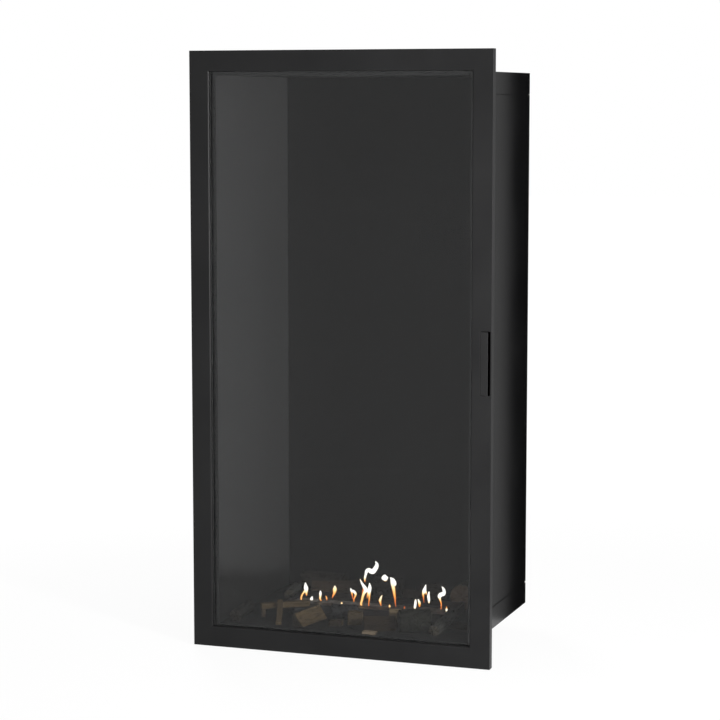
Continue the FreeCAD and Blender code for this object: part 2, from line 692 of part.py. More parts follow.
# Burner and snuffer
def make_burner():
    """The tank, its wool, its slotted top and the two rails that the snuffer's lid slides in."""
    floor = "hearth_top + tank_wall"
    outside = block("tank_outside", both("tank_half"), ("tank_fore", "tank_aft"), ("hearth_top", "tank_top"))
    inside = block("tank_inside", both("tank_half - tank_wall"),
                   ("tank_fore + tank_wall", "tank_aft - tank_wall"), (floor, "tank_top + overrun"))
    piece("burner_tank", cut("burner_tank", outside, inside))
    wool = ("tank_fore + tank_wall + wick_gap", "tank_aft - tank_wall - wick_gap")
    piece("burner_wick", block("burner_wick", both("tank_half - tank_wall - wick_gap"), wool,
                               (floor, "tank_top - wick_gap")))
    levels = ("tank_top", "burner_top")
    cover = block("burner_cover", both("tank_half + burner_rim"),
                  ("tank_fore - burner_rim", "tank_aft + burner_rim"), levels)
    slot = block("burner_slot", both("flame_length / 2"), ("slot_front", "slot_back"), past(levels))
    piece("burner_top", cut("burner_top", cover, slot))
    run = past(("slot_front - lid_lap", "lid_back"))
    rails = []
    for side, sign in SIDES.items():
        web = mirrored(sign, "rail_inner", "tank_half")
        lip = mirrored(sign, "rail_inner - rail_lip", "tank_half")
        rails.append(fuse(f"{side}_rail", block(f"{side}_rail_web", web, run, ("burner_top", "lip_high")),
                          block(f"{side}_rail_lip", lip, run, ("lip_low", "lip_high"))))
    piece("snuffer_rails", group("snuffer_rails", *rails))


def make_snuffer():
    """The lid, parked behind the slot, and the knob that a hook pulls it by."""
    levels = ("lid_low", "lid_high")
    piece("snuffer_lid", block("snuffer_lid", both("lid_half"), ("lid_front", "lid_back"), levels))
    centre = ("0", "(lid_front + lid_back) / 2")
    neck_top = "lid_high + knob_neck_height"
    neck = rod("knob_neck", "z", "knob_neck_radius", ("lid_high", neck_top), centre)
    head = rod("knob_head", "z", "knob_radius", (neck_top, "lid_high + knob_height"), centre)
    piece("snuffer_knob", fuse("snuffer_knob", neck, head))


# Logs
def heading(turn):
    """The way a turn points, on X and Y."""
    angle = math.radians(turn)
    return round(math.cos(angle), 4), round(math.sin(angle), 4)


def lean_formula(name):
    """How far a leaning log tilts: its underside meets the carrier's edge over its whole width."""
    *_, carrier, _, _, _, turn = LEANING[name]
    *_, carrier_turn = {**LOGS, **STACKED}[carrier]
    rise = f"stick_height + {carrier}_height" if carrier in STACKED else f"{carrier}_height"
    askew = round(abs(1 / math.tan(math.radians(turn - carrier_turn))), 4)
    return f"atan(({rise}) / ({name}_run - {askew} * {name}_width / 2))"


def log_body(name, kind, height, start):
    """A log along its own X axis from a start, lying on its own Z = 0."""
    long, wide = f"{name}_length", f"{name}_width"
    high = height if isinstance(height, str) else f"{name}_height"
    if kind == "round":
        return padded(name, "YZ_Plane", draw_round, wide, long, start)
    outline = [(f"{share} * {wide}", f"{rise} * {high}") for share, rise in SECTIONS[kind]]
    return padded(name, "YZ_Plane", draw_outline, outline, long, start)


def log_place(across, strip, along):
    """Where the middle of a log lies, on X and Y."""
    strip_start = {"front": "wall_plane", "rear": "tank_aft"}[strip]
    return f"{across} * inner_half", f"{strip_start} + {along} * {strip}_strip"


def lay(body, turn, *place):
    """Turns a log and binds its place on the three axes."""
    body.Placement.Rotation = Rotation(Vector(0, 0, 1), turn)
    for axis, formula in zip("xyz", place):
        body.setExpression(f"Placement.Base.{axis}", ex(formula))
    return body


def lying_log(name, sizes, floor):
    """One log lying on the floor level given, turned about its middle."""
    kind, _, _, height, across, strip, along, turn = sizes
    body = log_body(name, kind, height, f"-{name}_length / 2")
    return lay(body, turn, *log_place(across, strip, along), floor)


def leaning_log(name, sizes):
    """One log whose foot stands on the hearth and whose underside meets another log's upper edge."""
    kind, _, _, height, carrier, _, side, _, turn = sizes
    carrier_kind, _, _, _, across, strip, along, carrier_turn = {**LOGS, **STACKED}[carrier]
    edge = side * max(side * share for share, rise in SECTIONS[carrier_kind] if rise == 1)
    (run_x, run_y), (axis_x, axis_y) = heading(turn), heading(carrier_turn)
    middle_x, middle_y = log_place(across, strip, along)
    met, over, back = f"{name}_along", f"{edge} * {carrier}_width", f"{name}_run"
    foot = (f"{middle_x} + {axis_x} * {met} - {axis_y} * {over} - {run_x} * {back}",
            f"{middle_y} + {axis_y} * {met} + {axis_x} * {over} - {run_y} * {back}")
    body = lay(log_body(name, kind, height, "0"), turn, *foot, "hearth_top")
    body.setExpression("Placement.Rotation.Pitch", ex(f"-{name}_lean"))
    return body


def make_logs():
    for name, sizes in LOGS.items():
        piece(name, lying_log(name, sizes, "hearth_top"))
    for name, sizes in STACKED.items():
        piece(name, lying_log(name, sizes, "hearth_top + stick_height"))
    for name, sizes in LEANING.items():
        piece(name, leaning_log(name, sizes))
    piece("wood_chips", group("wood_chips", *[lying_log(name, sizes, "hearth_top")
                                              for name, sizes in CHIPS.items()]))


def check():
    """Stops if any object failed to build or any sub-part's shape is empty or not valid."""
    failed = [item.Name for item in doc.Objects if {"Invalid", "Error"} & set(item.State)]
    failed += [item.Label for item in pieces if item.Shape.isNull() or not item.Shape.isValid()]
    if failed:
        raise RuntimeError(f"not built: {failed}")


fill_sheet()
make_tray_and_cap()
make_panels()
make_walls()
make_flange()
make_hinges()
make_door_frame()
make_handle()
make_glazing()
make_burner()
make_snuffer()
make_logs()
doc.recompute()
check()
os.makedirs("parts", exist_ok=True)
for item in pieces:
    item.Shape.exportStep(f"parts/{item.Label}.step")
print(f"{len(pieces)} sub-parts, {sum(len(item.Shape.Solids) for item in pieces)} solids")
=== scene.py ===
import json
import math

import bmesh
import bpy
import numpy as np
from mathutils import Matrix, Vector


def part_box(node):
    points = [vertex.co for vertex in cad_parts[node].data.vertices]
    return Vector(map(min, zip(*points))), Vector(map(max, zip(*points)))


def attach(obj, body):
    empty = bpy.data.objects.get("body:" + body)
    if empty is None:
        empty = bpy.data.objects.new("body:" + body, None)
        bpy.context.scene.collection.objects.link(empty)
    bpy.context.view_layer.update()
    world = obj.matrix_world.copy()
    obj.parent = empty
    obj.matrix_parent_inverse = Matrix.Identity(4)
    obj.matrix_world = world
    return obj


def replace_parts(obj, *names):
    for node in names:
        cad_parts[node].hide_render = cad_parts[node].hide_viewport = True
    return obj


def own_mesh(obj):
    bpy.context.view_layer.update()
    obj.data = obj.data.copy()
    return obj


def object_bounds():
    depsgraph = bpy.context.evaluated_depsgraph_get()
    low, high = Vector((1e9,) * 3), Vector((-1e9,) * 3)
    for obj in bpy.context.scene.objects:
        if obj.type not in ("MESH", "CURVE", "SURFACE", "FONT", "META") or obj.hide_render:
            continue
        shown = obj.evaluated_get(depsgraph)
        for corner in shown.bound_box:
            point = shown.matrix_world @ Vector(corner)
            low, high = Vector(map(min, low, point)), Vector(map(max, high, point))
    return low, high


# Built-in bioethanol fireplace: finishes for every sheet, glass and burner part, ceramic logs with
# relief, and the flames. Metres, +X right, +Y into the wall, +Z up, the door faces -Y.
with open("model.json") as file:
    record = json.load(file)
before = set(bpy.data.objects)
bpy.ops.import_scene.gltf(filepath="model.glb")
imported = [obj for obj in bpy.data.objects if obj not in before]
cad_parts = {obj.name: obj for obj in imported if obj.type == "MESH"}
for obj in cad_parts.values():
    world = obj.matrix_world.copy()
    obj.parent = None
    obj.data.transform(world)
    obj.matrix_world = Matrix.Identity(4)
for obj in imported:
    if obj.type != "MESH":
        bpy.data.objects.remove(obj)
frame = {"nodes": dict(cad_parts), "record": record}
cad_low, cad_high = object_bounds()

MM = 0.001
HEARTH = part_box("hearth_plate")[1].z
WICK_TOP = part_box("burner_wick")[1].z
BODY_OF = {name: body for body, names in frame["record"]["behaviour"]["bodies"].items() for name in names}

# Logs: section, length, width and height in mm, turn from +X and lean in degrees, finish and random
# seed. Each lies where its solid does.
LOGS = {
    "left_wall_log": ("round", 90, 26, 26, 95, 0, "soot_bark", 1),
    "under_log": ("board", 30, 24, 17, 125, 0, "char", 2),
    "front_stick": ("board", 82, 12, 7, 109, 20.9, "tan_sawn", 3),
    "split_log": ("wedge", 89, 26, 27, 77, 0, "scorched_split", 4),
    "charred_log": ("round", 50, 32, 32, 6, 0, "char", 5),
    "cut_chunk": ("board", 30, 22, 27, 10, 0, "pale_split", 6),
    "brown_log": ("split", 62, 28, 30, 20, 0, "red_split", 7),
    "light_chunk": ("split", 40, 24, 34, 10, 0, "painted_light_split", 8),
    "bark_log": ("round", 62, 46, 46, 26, 0, "moss_bark", 9),
    "rough_bark_log": ("round", 80, 24, 24, 81, 12, "grey_bark", 10),
    "right_wall_log": ("board", 76, 24, 14, -9, 0, "red_split", 11),
    "left_rear_log": ("round", 80, 24, 24, 100, 0, "grey_bark", 12),
    "rear_long_log": ("split", 116, 36, 36, 19, 0, "rose_split", 13),
    "rear_left_log": ("round", 98, 40, 40, -2, 0, "dark_bark", 14),
    "rear_mid_log": ("round", 60, 42, 42, 8, 0, "dark_bark", 15),
    "rear_right_log": ("split", 44, 24, 32, -6, 0, "rose_split", 16),
    "rear_corner_log": ("split", 54, 30, 34, 20, 0, "rose_split", 17),
    "right_tall_log": ("round", 96, 54, 54, 84, 0, "olive_bark", 18),
    "cross_stick": ("board", 100, 16, 11, 35, 0, "tan_sawn", 19),
}
# Chips: section, length, width, height, turn, place of the middle on X and Y, paleness and seed
CHIPS = {
    "flat_lump": ("board", 28, 18, 13, 12, (-29.1, -139.6), 0.0, 20),
    "floor_chip": ("board", 30, 11, 7, -4, (54.4, -182.3), 1.0, 21),
    "side_splinter": ("board", 16, 8, 17, 125, (-191.5, -115.2), 0.5, 22),
}
SECTIONS = {
    "split": ((-0.5, 0), (0.5, 0), (0.5, 0.35), (0.22, 0.86), (-0.12, 1)),
    "board": ((-0.5, 0), (0.5, 0), (0.45, 1), (-0.46, 1)),
    "wedge": ((-0.5, 0), (0.5, 0), (0.46, 0.8), (0.22, 1)),
    "slab": ((-0.5, 0), (0.5, 0), (0.5, 1), (-0.5, 1)),
}
# Log skins: points round a ring, distance between rings and the flat cut under a round log in mm, the
# shrinking rings of a cut end, the room in mm that the ends leave and the dome they have, and the power
# that keeps an end's slant near it
LOG_COLUMNS = 96
LOG_STATION = 1.1
FLAT_CUT = 1
CAP_SHARES = (0.06, 0.2, 0.36, 0.52, 0.68, 0.84, 0.95)
END_ROOM = 2
END_DOME = 0.8
END_POWER = 6
# Their relief: lattice cells of the swell and of the ragged ends, along and around, and of the grain,
# the power that sharpens a furrow, and the share of its depth that the ends are ragged by
SWELL_CELLS = (3, 4)
RAGGED_CELLS = (1, 18)
RAGGED_SHARE = 0.6
GRAIN_LEAST = 8
GRAIN_RINGS = 3
FURROW_POWER = 4
WICK_SEED = 23

# Relief of each log skin in mm: broad swell, furrow depth, fine grain, bow, slant of the ends, and how
# many furrows there are along it and around it
RELIEF = {
    "bark": {"swell": 1.6, "furrow": 2.6, "fine": 0.5, "bow": 1.2, "slant": 1.5, "along": 6, "around": 13},
    "char": {"swell": 1.2, "furrow": 2.0, "fine": 0.3, "bow": 0.8, "slant": 1.5, "along": 10, "around": 9},
    "split": {"swell": 1.6, "furrow": 1.5, "fine": 0.4, "bow": 0.6, "slant": 2.5, "along": 2, "around": 22},
    "sawn": {"swell": 0.5, "furrow": 0.5, "fine": 0.25, "bow": 0.3, "slant": 0.6, "along": 2, "around": 24},
    "wool": {"swell": 1.2, "furrow": 0.8, "fine": 0.6, "bow": 0.0, "slant": 0.0, "along": 26, "around": 20},
}

# Flames: depth on Y, then the points of a stroke from its foot up, each with X, height above the wick,
# half width and heat from 0, dull red, to 1, white; in mm
FLAMES = (
    (-12, ((-139, 9, 1.0, 0.3), (-139.5, 17, 2.9, 0.8), (-140, 24.5, 4.2, 1), (-141, 31, 2.4, 1),
           (-141.5, 36, 0.4, 1))),
    (-12, ((-150.5, 0, 1.6, 0.5), (-150, 6, 1.8, 0.55), (-147, 12.5, 1.7, 0.6), (-142.5, 18.5, 2.0, 0.8))),
    (-8, ((-130, 0, 2.6, 0.95), (-129.5, 3, 2.8, 1), (-128, 8, 0.4, 1))),
    (-14, ((-106.5, 1, 0.8, 0.3), (-109, 5.5, 1.9, 0.6), (-108.8, 10, 2.0, 0.8), (-108.4, 17, 2.3, 1),
           (-108.6, 22, 0.5, 1))),
    (-8, ((-97, 2, 0.6, 0.25), (-97.3, 6.5, 1.3, 0.5), (-99.3, 11, 0.4, 0.6))),
    (-12, ((-84, 8, 0.7, 0.15), (-82, 14, 2.0, 0.35), (-79.8, 18.5, 2.7, 0.5), (-78.4, 27, 4.0, 0.78),
           (-78.4, 34, 0.5, 0.9))),
    (-24, ((-59.5, 0, 1.4, 0.7), (-59.5, 2, 1.9, 0.8), (-59.3, 4.5, 0.4, 0.6))),
    (-12, ((-38.2, 4, 1.0, 0.3), (-37.6, 10, 1.4, 0.35), (-35, 16.5, 1.9, 0.55), (-34.6, 21, 2.4, 0.85),
           (-38.5, 25.4, 2.4, 1), (-43, 26.3, 2.2, 1), (-45, 31.5, 0.5, 1))),
    (-12, ((-38.8, 8.5, 1.2, 0.25), (-41, 14.5, 1.4, 0.2), (-42, 20, 1.7, 0.45), (-42.5, 25, 1.6, 0.85))),
    (-24, ((-17.8, 0, 2.0, 0.5), (-18.6, 4.5, 2.2, 0.6), (-16.9, 11, 2.4, 0.6), (-14.8, 20, 2.6, 0.65),
           (-12.5, 26, 2.8, 0.8), (-8.6, 32.5, 3.6, 1), (-11.7, 38.5, 3.2, 1), (-16.9, 46, 1.8, 1),
           (-20.7, 54, 0.4, 0.9))),
    (-22, ((-3.1, 0, 1.4, 0.2), (-3.1, 6.5, 1.4, 0.25), (-2.1, 14.5, 1.7, 0.4), (-2.1, 22.5, 2.4, 0.65),
           (-2.3, 30.5, 3.6, 1), (-1, 38.5, 3.2, 1), (-1.5, 47, 0.5, 1))),
    (-22, ((-9.5, 33, 2.6, 1), (-6, 31.5, 3.0, 1), (-2.5, 32, 2.6, 1))),
    (-20, ((-7.5, 15, 0.6, 0.3), (-6.3, 22.5, 1.4, 0.5), (-5, 28.5, 1.8, 0.8))),
    (-20, ((-17.5, 22, 0.6, 0.15), (-16, 29, 1.8, 0.25), (-13.5, 39, 1.4, 0.4))),
    (-18, ((-12.4, 47, 0.7, 0.2), (-12.7, 54.5, 1.9, 0.85), (-10.9, 62.5, 2.2, 1), (-8.8, 69.5, 3.2, 1),
           (-4.6, 72, 4.0, 1), (0.5, 69.8, 4.6, 1), (5, 70.4, 4.8, 1), (9, 75.5, 4.4, 1), (12, 81, 3.9, 1),
           (12.2, 86, 2.6, 1), (9.4, 91, 0.4, 1))),
    (-10, ((27.5, 50, 0.8, 0.6), (27.4, 52.8, 4.2, 0.95), (26.6, 57, 6.8, 1), (26.6, 60.4, 4.4, 1),
           (27.2, 63.4, 0.6, 1))),
    (-16, ((20.7, 1, 0.7, 0.2), (19.2, 8, 2.1, 0.5), (18.6, 12.4, 2.5, 0.75), (20.7, 18.3, 1.7, 0.85),
           (23, 23, 0.4, 0.85))),
    (-12, ((50.4, 1, 0.9, 0.12), (49, 9, 1.6, 0.2), (48.5, 16.5, 2.1, 0.3), (47.4, 24.5, 2.7, 0.45),
           (46.2, 32.5, 3.1, 0.6), (44.7, 40.5, 3.4, 0.78), (43, 48, 3.4, 0.95), (41.3, 54.5, 2.4, 1),
           (38.6, 59.5, 0.5, 1))),
    (-12, ((48.2, 42.5, 0.6, 0.9), (48.5, 46, 2.6, 1), (47, 50.5, 3.0, 1), (44, 54.8, 3.0, 1),
           (40.5, 57.5, 1.4, 1))),
    (-20, ((39.9, 0.5, 1.2, 0.5), (39.9, 3, 2.0, 0.7), (39.6, 6, 0.4, 0.5))),
    (-20, ((70.8, 0.3, 1.6, 0.1), (70.8, 2.6, 2.2, 0.12), (70.6, 5.4, 0.5, 0.05))),
    (-14, ((90.4, 0.5, 1.4, 0.8), (90.6, 3.5, 2.2, 0.95), (91.6, 10.5, 2.3, 1), (92, 17, 1.7, 0.95),
           (92, 19.5, 0.5, 0.9))),
    (-10, ((98.4, 3.5, 1.0, 0.25), (99, 7.8, 2.6, 0.45), (98.4, 13, 2.4, 0.85), (95.8, 19, 0.6, 1))),
    (-8, ((107.5, 12, 0.6, 0.1), (106.5, 23, 1.6, 0.3), (105.9, 30, 2.4, 0.7), (108, 36, 3.8, 1),
          (109.6, 42, 2.4, 1), (111.3, 49, 0.4, 1))),
    (-8, ((112, 29, 0.8, 0.35), (111.4, 33.5, 1.8, 0.8), (109, 37.5, 2.6, 1))),
    (-6, ((117.2, 12, 1.2, 0.8), (117, 18.5, 2.2, 1), (116.1, 26.5, 2.4, 1), (117.4, 35, 0.8, 1))),
    (-10, ((143.3, 2, 1.0, 0.2), (143.9, 11.5, 1.4, 0.3), (142.7, 17.5, 1.5, 0.45), (141.2, 22.5, 1.8, 0.8),
           (140.2, 28, 3.6, 1), (143.5, 32, 4.0, 1), (148.3, 33.6, 3.6, 1), (149.6, 38.5, 3.0, 1),
           (148.2, 43.5, 2.2, 1), (144.8, 48, 0.4, 1))),
    (-20, ((157.7, 1, 1.2, 0.8), (157.9, 5, 1.9, 0.95), (157.9, 9, 1.0, 0.5), (157.9, 12, 0.4, 0.2))),
)
# Rings along a flame, points round a ring, depth as a share of its width, least half width and the
# mantle's margin in mm, and the core's share of the width where it is coolest and hottest
FLAME_RINGS = 40
FLAME_COLUMNS = 16
FLAME_DEPTH = 0.8
FLAME_LEAST = 0.3
MANTLE_MARGIN = 0.35
CORE_WIDTH = (0.38, 0.95)

# Knitted ropes round the door: width, corner radius, stitch length and relief in mm, and stitches across;
# the power squares the oval's section
ROPE_STEP = 1.25
ROPE_COLUMNS = 20
CORNER_POINTS = 12
OVAL_POWER = 0.6
ROPES = {
    "door_seal": {"width": 8, "corner": 9, "stitch": 5, "relief": 0.5, "ribs": 6},
    "glass_gasket": {"width": 6, "corner": 7, "stitch": 3, "relief": 0.16, "ribs": 8},
}

# Edges: points nearer than this in metres are one, faces that turn by less than the flat angle are one,
# edges that turn by more than the sharp angle are rounded off, and the weight keeps large faces flat. Edges
# nearer to the middle than the half width are the window's, where the door's sheet is bent
MERGE = 1e-6
FLAT_ANGLE = math.radians(0.5)
SHARP_ANGLE = math.radians(40)
EDGE_SEGMENTS = 3
FACE_WEIGHT = 100
WINDOW_HALF = 0.27
WINDOW_FOLD = 3.4 * MM
DOOR_SHEET = 2.0 * MM

# Pieces with rounded edges: width of the rounding, fold, finish, slot and the CAD nodes
EASED = (
    (0.6 * MM, WINDOW_FOLD, "door_paint", "black_paint", ("door_frame",)),
    (0.7 * MM, 0.0, "pull_paint_painted_light", "black_paint", ("door_handle",)),
    (0.4 * MM, 0.0, "case_paint", "black_paint",
     ("base_tray", "top_cap", "left_side_panel", "right_side_panel", "back_panel")),
    (0.3 * MM, 0.0, "heated_steel", "burner_steel",
     ("burner_tank", "burner_top", "snuffer_lid", "snuffer_rails")),
)
# CAD nodes that keep their own mesh, by finish
DRESSED = {
    "heated_steel": ("snuffer_knob",),
    "case_paint": ("front_flange", "upper_hinge_bracket", "lower_hinge_bracket"),
    "lining_paint": ("left_liner", "right_liner", "top_liner", "hearth_plate"),
    "back_lining_painted_shade": ("back_liner",),
    "zinc_plate": ("left_glass_bar", "right_glass_bar", "top_glass_bar", "bottom_glass_bar", "bar_posts",
                   "bar_screws", "back_screws", "hinge_screws", "hinge_pins"),
    "bush_bronze": ("upper_hinge_bush", "lower_hinge_bush"),
    "ferrite": ("catch_magnets",),
    "insulating_board": ("left_insulation", "right_insulation", "back_insulation"),
    "ceramic_glass": ("door_glass",),
}

# Paints: dark and light shade of the patches, their roughness, sheen, and strength of the pebbling
PAINTS = {
    "door_paint": ((0.0085, 0.0085, 0.0088), (0.0125, 0.0125, 0.0128), (0.34, 0.44), 0.15, 0.3),
    # The pull's paint is the door's paint made lighter and glossier: painted light on the finger pull
    "pull_paint_painted_light": ((0.0115, 0.0115, 0.0118), (0.0165, 0.0165, 0.0169), (0.34, 0.44), 0.24, 0.3),
    "case_paint": ((0.0042, 0.0042, 0.0044), (0.0062, 0.0062, 0.0064), (0.22, 0.27), 0.15, 0.3),
    "lining_paint": ((0.0204, 0.0204, 0.0206), (0.0241, 0.0241, 0.0243), (0.62, 0.75), 0.05, 0.02),
    # The back liner's paint is a darker copy of the lining paint: painted shade on the back wall
    "back_lining_painted_shade": ((0.0026, 0.0026, 0.0027), (0.0034, 0.0034, 0.0035), (0.62, 0.75), 0.05, 0.02),
    "ferrite": ((0.035, 0.035, 0.038), (0.055, 0.055, 0.058), (0.6, 0.75), 0.3, 0.5),
}
PEBBLE_HEIGHT = 0.0001
# Painted shadow on the lining: heights between which it fades, their fall towards the back, and its shade
SHADOW_PAINTED = "lining_paint"
PAINTED_SHADOW_FADE = {"Low": 0.048, "High": 0.093, "Lean": 0.195}
PAINTED_SHADOW_SHADE = (0.003, 0.003, 0.003)
PAINTED_SHADOW_CLOUD = 0.012
PAINTED_SHADOW_SCALE = 9.0
# Bare metals: dark and light shade of the streaks, their roughness, and fineness of the brushing
METALS = {
    "zinc_plate": ((0.30, 0.30, 0.31), (0.42, 0.42, 0.43), (0.32, 0.45), 1100.0),
    "bush_bronze": ((0.42, 0.28, 0.11), (0.56, 0.39, 0.17), (0.28, 0.40), 900.0),
}
STREAK_SCALE = (0.012, 1, 1)
BRUSHED = {"distance": 0.00005, "strength": 0.4}
# Steel blackened by the flames: fineness and roughness of its brushing, size and tints of its clouds, and
# shade and share of its streaks
HEATED_LINES = 700.0
HEATED_ROUGH = (0.42, 0.58)
HEATED_CLOUD = 16.0
HEATED_TINTS = ((0.0, (0.030, 0.030, 0.032)), (0.45, (0.040, 0.034, 0.028)), (0.7, (0.024, 0.020, 0.022)),
                (1.0, (0.022, 0.024, 0.030)))
HEATED_STREAK = (0.06, 0.058, 0.056)
HEATED_SHARE = 0.35
# Mineral fibre: dark and light shade, and fineness of the fibres
FELTS = {
    "insulating_board": ((0.48, 0.46, 0.41), (0.66, 0.64, 0.58), 420.0),
    "ceramic_wool": ((0.035, 0.031, 0.027), (0.11, 0.10, 0.09), 320.0),
    "seal_rope": ((0.010, 0.010, 0.010), (0.06, 0.06, 0.058), 900.0),
}
KNITTED = "seal_rope"
FELT_SURFACE = {"Roughness": 0.95, "Specular_IOR_Level": 0.2}
FELT = {"distance": 0.0004, "strength": 0.6}
FELT_CLOUD = 60.0
FIBRE_SCALE = (1, 0.25, 1)
# Glass: refraction, and its smears' size, greatest roughness and tints
PANE_IOR = 1.268
WIPE_SCALE = (1, 1, 0.25)
SMEAR_SCALE = 7.0
SMEAR_ROUGH = 0.004
SMEAR_SPAN = (0.35, 0.7)
PANE_CLOUD = 2.0
PANE_TINTS = ((0, (0.93, 0.95, 0.95)), (1, (0.97, 0.98, 0.98)))
# Logs: relief, slot, fibres round the log, the shades of the dark and light fibres, of the furrows and of
# the cut ends, and the shade that pale chips come near to
LOG_FINISHES = {
    "pale_split": ("split", "split_wood_look", 6.0, (0.021, 0.015, 0.008), (0.060, 0.043, 0.025),
                   (0.008, 0.006, 0.003), (0.049, 0.035, 0.020)),
    # A lighter copy of pale_split: painted light on the light chunk
    "painted_light_split": ("split", "split_wood_look", 6.0, (0.048, 0.035, 0.019), (0.128, 0.094, 0.056),
                    (0.016, 0.011, 0.006), (0.104, 0.076, 0.044)),
    "scorched_split": ("split", "split_wood_look", 6.0, (0.029, 0.020, 0.010), (0.077, 0.054, 0.029),
                       (0.009, 0.006, 0.003), (0.010, 0.008, 0.005)),
    "chip": ("split", "split_wood_look", 6.0, (0.006, 0.004, 0.002), (0.020, 0.013, 0.008),
             (0.005, 0.003, 0.002), (0.038, 0.027, 0.017), (0.130, 0.100, 0.068)),
    "tan_sawn": ("sawn", "split_wood_look", 8.0, (0.030, 0.020, 0.010), (0.070, 0.050, 0.027),
                 (0.010, 0.007, 0.004), (0.060, 0.042, 0.022)),
    "red_split": ("split", "brown_wood_look", 6.0, (0.004, 0.002, 0.001), (0.014, 0.009, 0.004),
                  (0.002, 0.0015, 0.001), (0.015, 0.010, 0.006)),
    "rose_split": ("split", "brown_wood_look", 6.0, (0.012, 0.008, 0.006), (0.032, 0.022, 0.015),
                   (0.005, 0.004, 0.002), (0.026, 0.018, 0.013)),
    "moss_bark": ("bark", "bark_look", 4.5, (0.002, 0.002, 0.001), (0.007, 0.007, 0.005),
                  (0.001, 0.001, 0.001), (0.010, 0.009, 0.006)),
    "olive_bark": ("bark", "bark_look", 4.5, (0.027, 0.026, 0.019), (0.082, 0.078, 0.056),
                   (0.010, 0.010, 0.007), (0.094, 0.069, 0.052)),
    "soot_bark": ("bark", "bark_look", 4.5, (0.002, 0.002, 0.0015), (0.008, 0.007, 0.006),
                  (0.001, 0.001, 0.001), (0.008, 0.006, 0.005)),
    "dark_bark": ("bark", "bark_look", 4.5, (0.006, 0.005, 0.004), (0.017, 0.014, 0.011),
                  (0.002, 0.001, 0.001), (0.017, 0.013, 0.009)),
    "grey_bark": ("bark", "bark_look", 5.0, (0.009, 0.009, 0.008), (0.049, 0.047, 0.043),
                  (0.003, 0.003, 0.002), (0.026, 0.022, 0.016)),
    "char": ("char", "charred_look", 5.0, (0.004, 0.004, 0.004), (0.022, 0.022, 0.023),
             (0.0015, 0.0015, 0.0015), (0.015, 0.014, 0.014)),
}
# Wood: stretch of the fibres along the log, growth rings on a cut end and their wobble, how dark they are,
# where the cut begins, and the size and least share of the blotches
FIBRE_STRETCH = 0.0012
RING_COUNT = 55.0
RING_WOBBLE = 0.05
RING_SHADE = 0.75
CUT_SPAN = (0.02, 0.08)
BLOTCH_SCALE = 55.0
BLOTCH_LEAST = 0.4
WOOD_SURFACE = {"Roughness": 0.85, "Specular_IOR_Level": 0.05}
WOOD = {"distance": 0.0006, "strength": 0.7}
# The middle of a noise, stretched over the whole of a mask: softly, and more
CLOUD_SPAN = (0.3, 0.7)
GRAIN_SPAN = (0.32, 0.68)
# Flames: strength of the light, alpha over the heat, and colours over the heat
FLAME_LOOKS = {
    "flame_core": (1.6, (0.35, 1.0, 0.0, 0.4),
                   ((0.0, (0.30, 0.04, 0.01)), (0.2, (0.70, 0.15, 0.03)), (0.4, (1.0, 0.36, 0.07)),
                    (0.6, (1.0, 0.60, 0.20)), (0.8, (1.0, 0.84, 0.50)), (1.0, (1.0, 0.99, 0.96)))),
    "flame_mantle": (1.0, (0.10, 0.40),
                     ((0.0, (0.25, 0.03, 0.01)), (0.5, (0.90, 0.28, 0.05)), (0.8, (1.0, 0.58, 0.22)),
                      (1.0, (1.0, 0.93, 0.82)))),
}

# Camera: place, heading from +Y towards +X, tilt and lens that put the corners on the photograph's
CAMERA_PLACE = (1.4313, -4.1393, 1.0159)
CAMERA_HEADING = -19.44
CAMERA_TILT = -6.61
CAMERA_LENS = 111.93
SENSOR_WIDTH = 36
CLIP_END = 100

# Stage: floor, world light, cards that reflections show, and lamps as place, target, size and power
FLOOR_DROP = 0.002
FLOOR_SIZE = 40
FLOOR_GREY = 0.8
FLOOR_WHITE = 0.9
FLOOR_GLOW = 1.03
FLOOR_FADE = (0.9, 2.4)
FLOOR_ROUGH = 0.9
WORLD_FILL = 0.22
FLAG_REACH = 0.30
FLAG_FADE = (0.034, 0.062)
FLAG_GREY = 0.40
FLAG_TOP = 3.0
LAMPS = {
    "key": ((2.0, -1.68, 0.88), (0, -0.2, 0.55), 0.3, 80),
    "near": ((0.6, -1.3, 0.6), (0.28, -0.2, 0.55), 0.4, 5),
    "rear": ((-1.9, 2.5, 1.7), (0, 0, 0.5), 1.2, 60),
}

# Names of the meshes' own attributes
ALONG, AROUND, CAP, CREVICE, PALE = "along", "around", "cap", "crevice", "pale"
HEAT, STRAND = "glow", "strand"

BLACK = (0, 0, 0, 1)
WHITE = (1, 1, 1, 1)
# A surface that only glows
GLOWING = {"Base_Color": BLACK, "Roughness": 1.0, "Specular_IOR_Level": 0.0}


# Surfaces
def grid_faces(rows, columns, looped=False):
    """Quads between neighbouring rings of points, closed round each ring, and from the last ring to the
    first where the rings themselves run round a loop."""
    row = np.arange(rows if looped else rows - 1)[:, None]
    column = np.arange(columns)[None, :]
    after = (column + 1) % columns
    below = (row + 1) % rows
    corners = (row * columns + column, row * columns + after,
               below * columns + after, below * columns + column)
    return np.stack(corners, axis=-1).reshape(-1, 4)


def closed_skin(rings):
    """Points and faces of a closed skin: quads between the rings, and a fan from the middle of each
    end ring. rings is rings by columns by 3, turning right-handed about the way from first to last."""
    count, columns, _ = rings.shape
    points = np.concatenate([rings.reshape(-1, 3), rings[[0, -1]].mean(axis=1)])
    ring = np.arange(columns)
    after = (ring + 1) % columns
    first, last, end = count * columns, count * columns + 1, (count - 1) * columns
    faces = grid_faces(count, columns).tolist()
    faces += np.stack([np.full(columns, first), after, ring], axis=1).tolist()
    faces += np.stack([np.full(columns, last), end + ring, end + after], axis=1).tolist()
    return points, faces


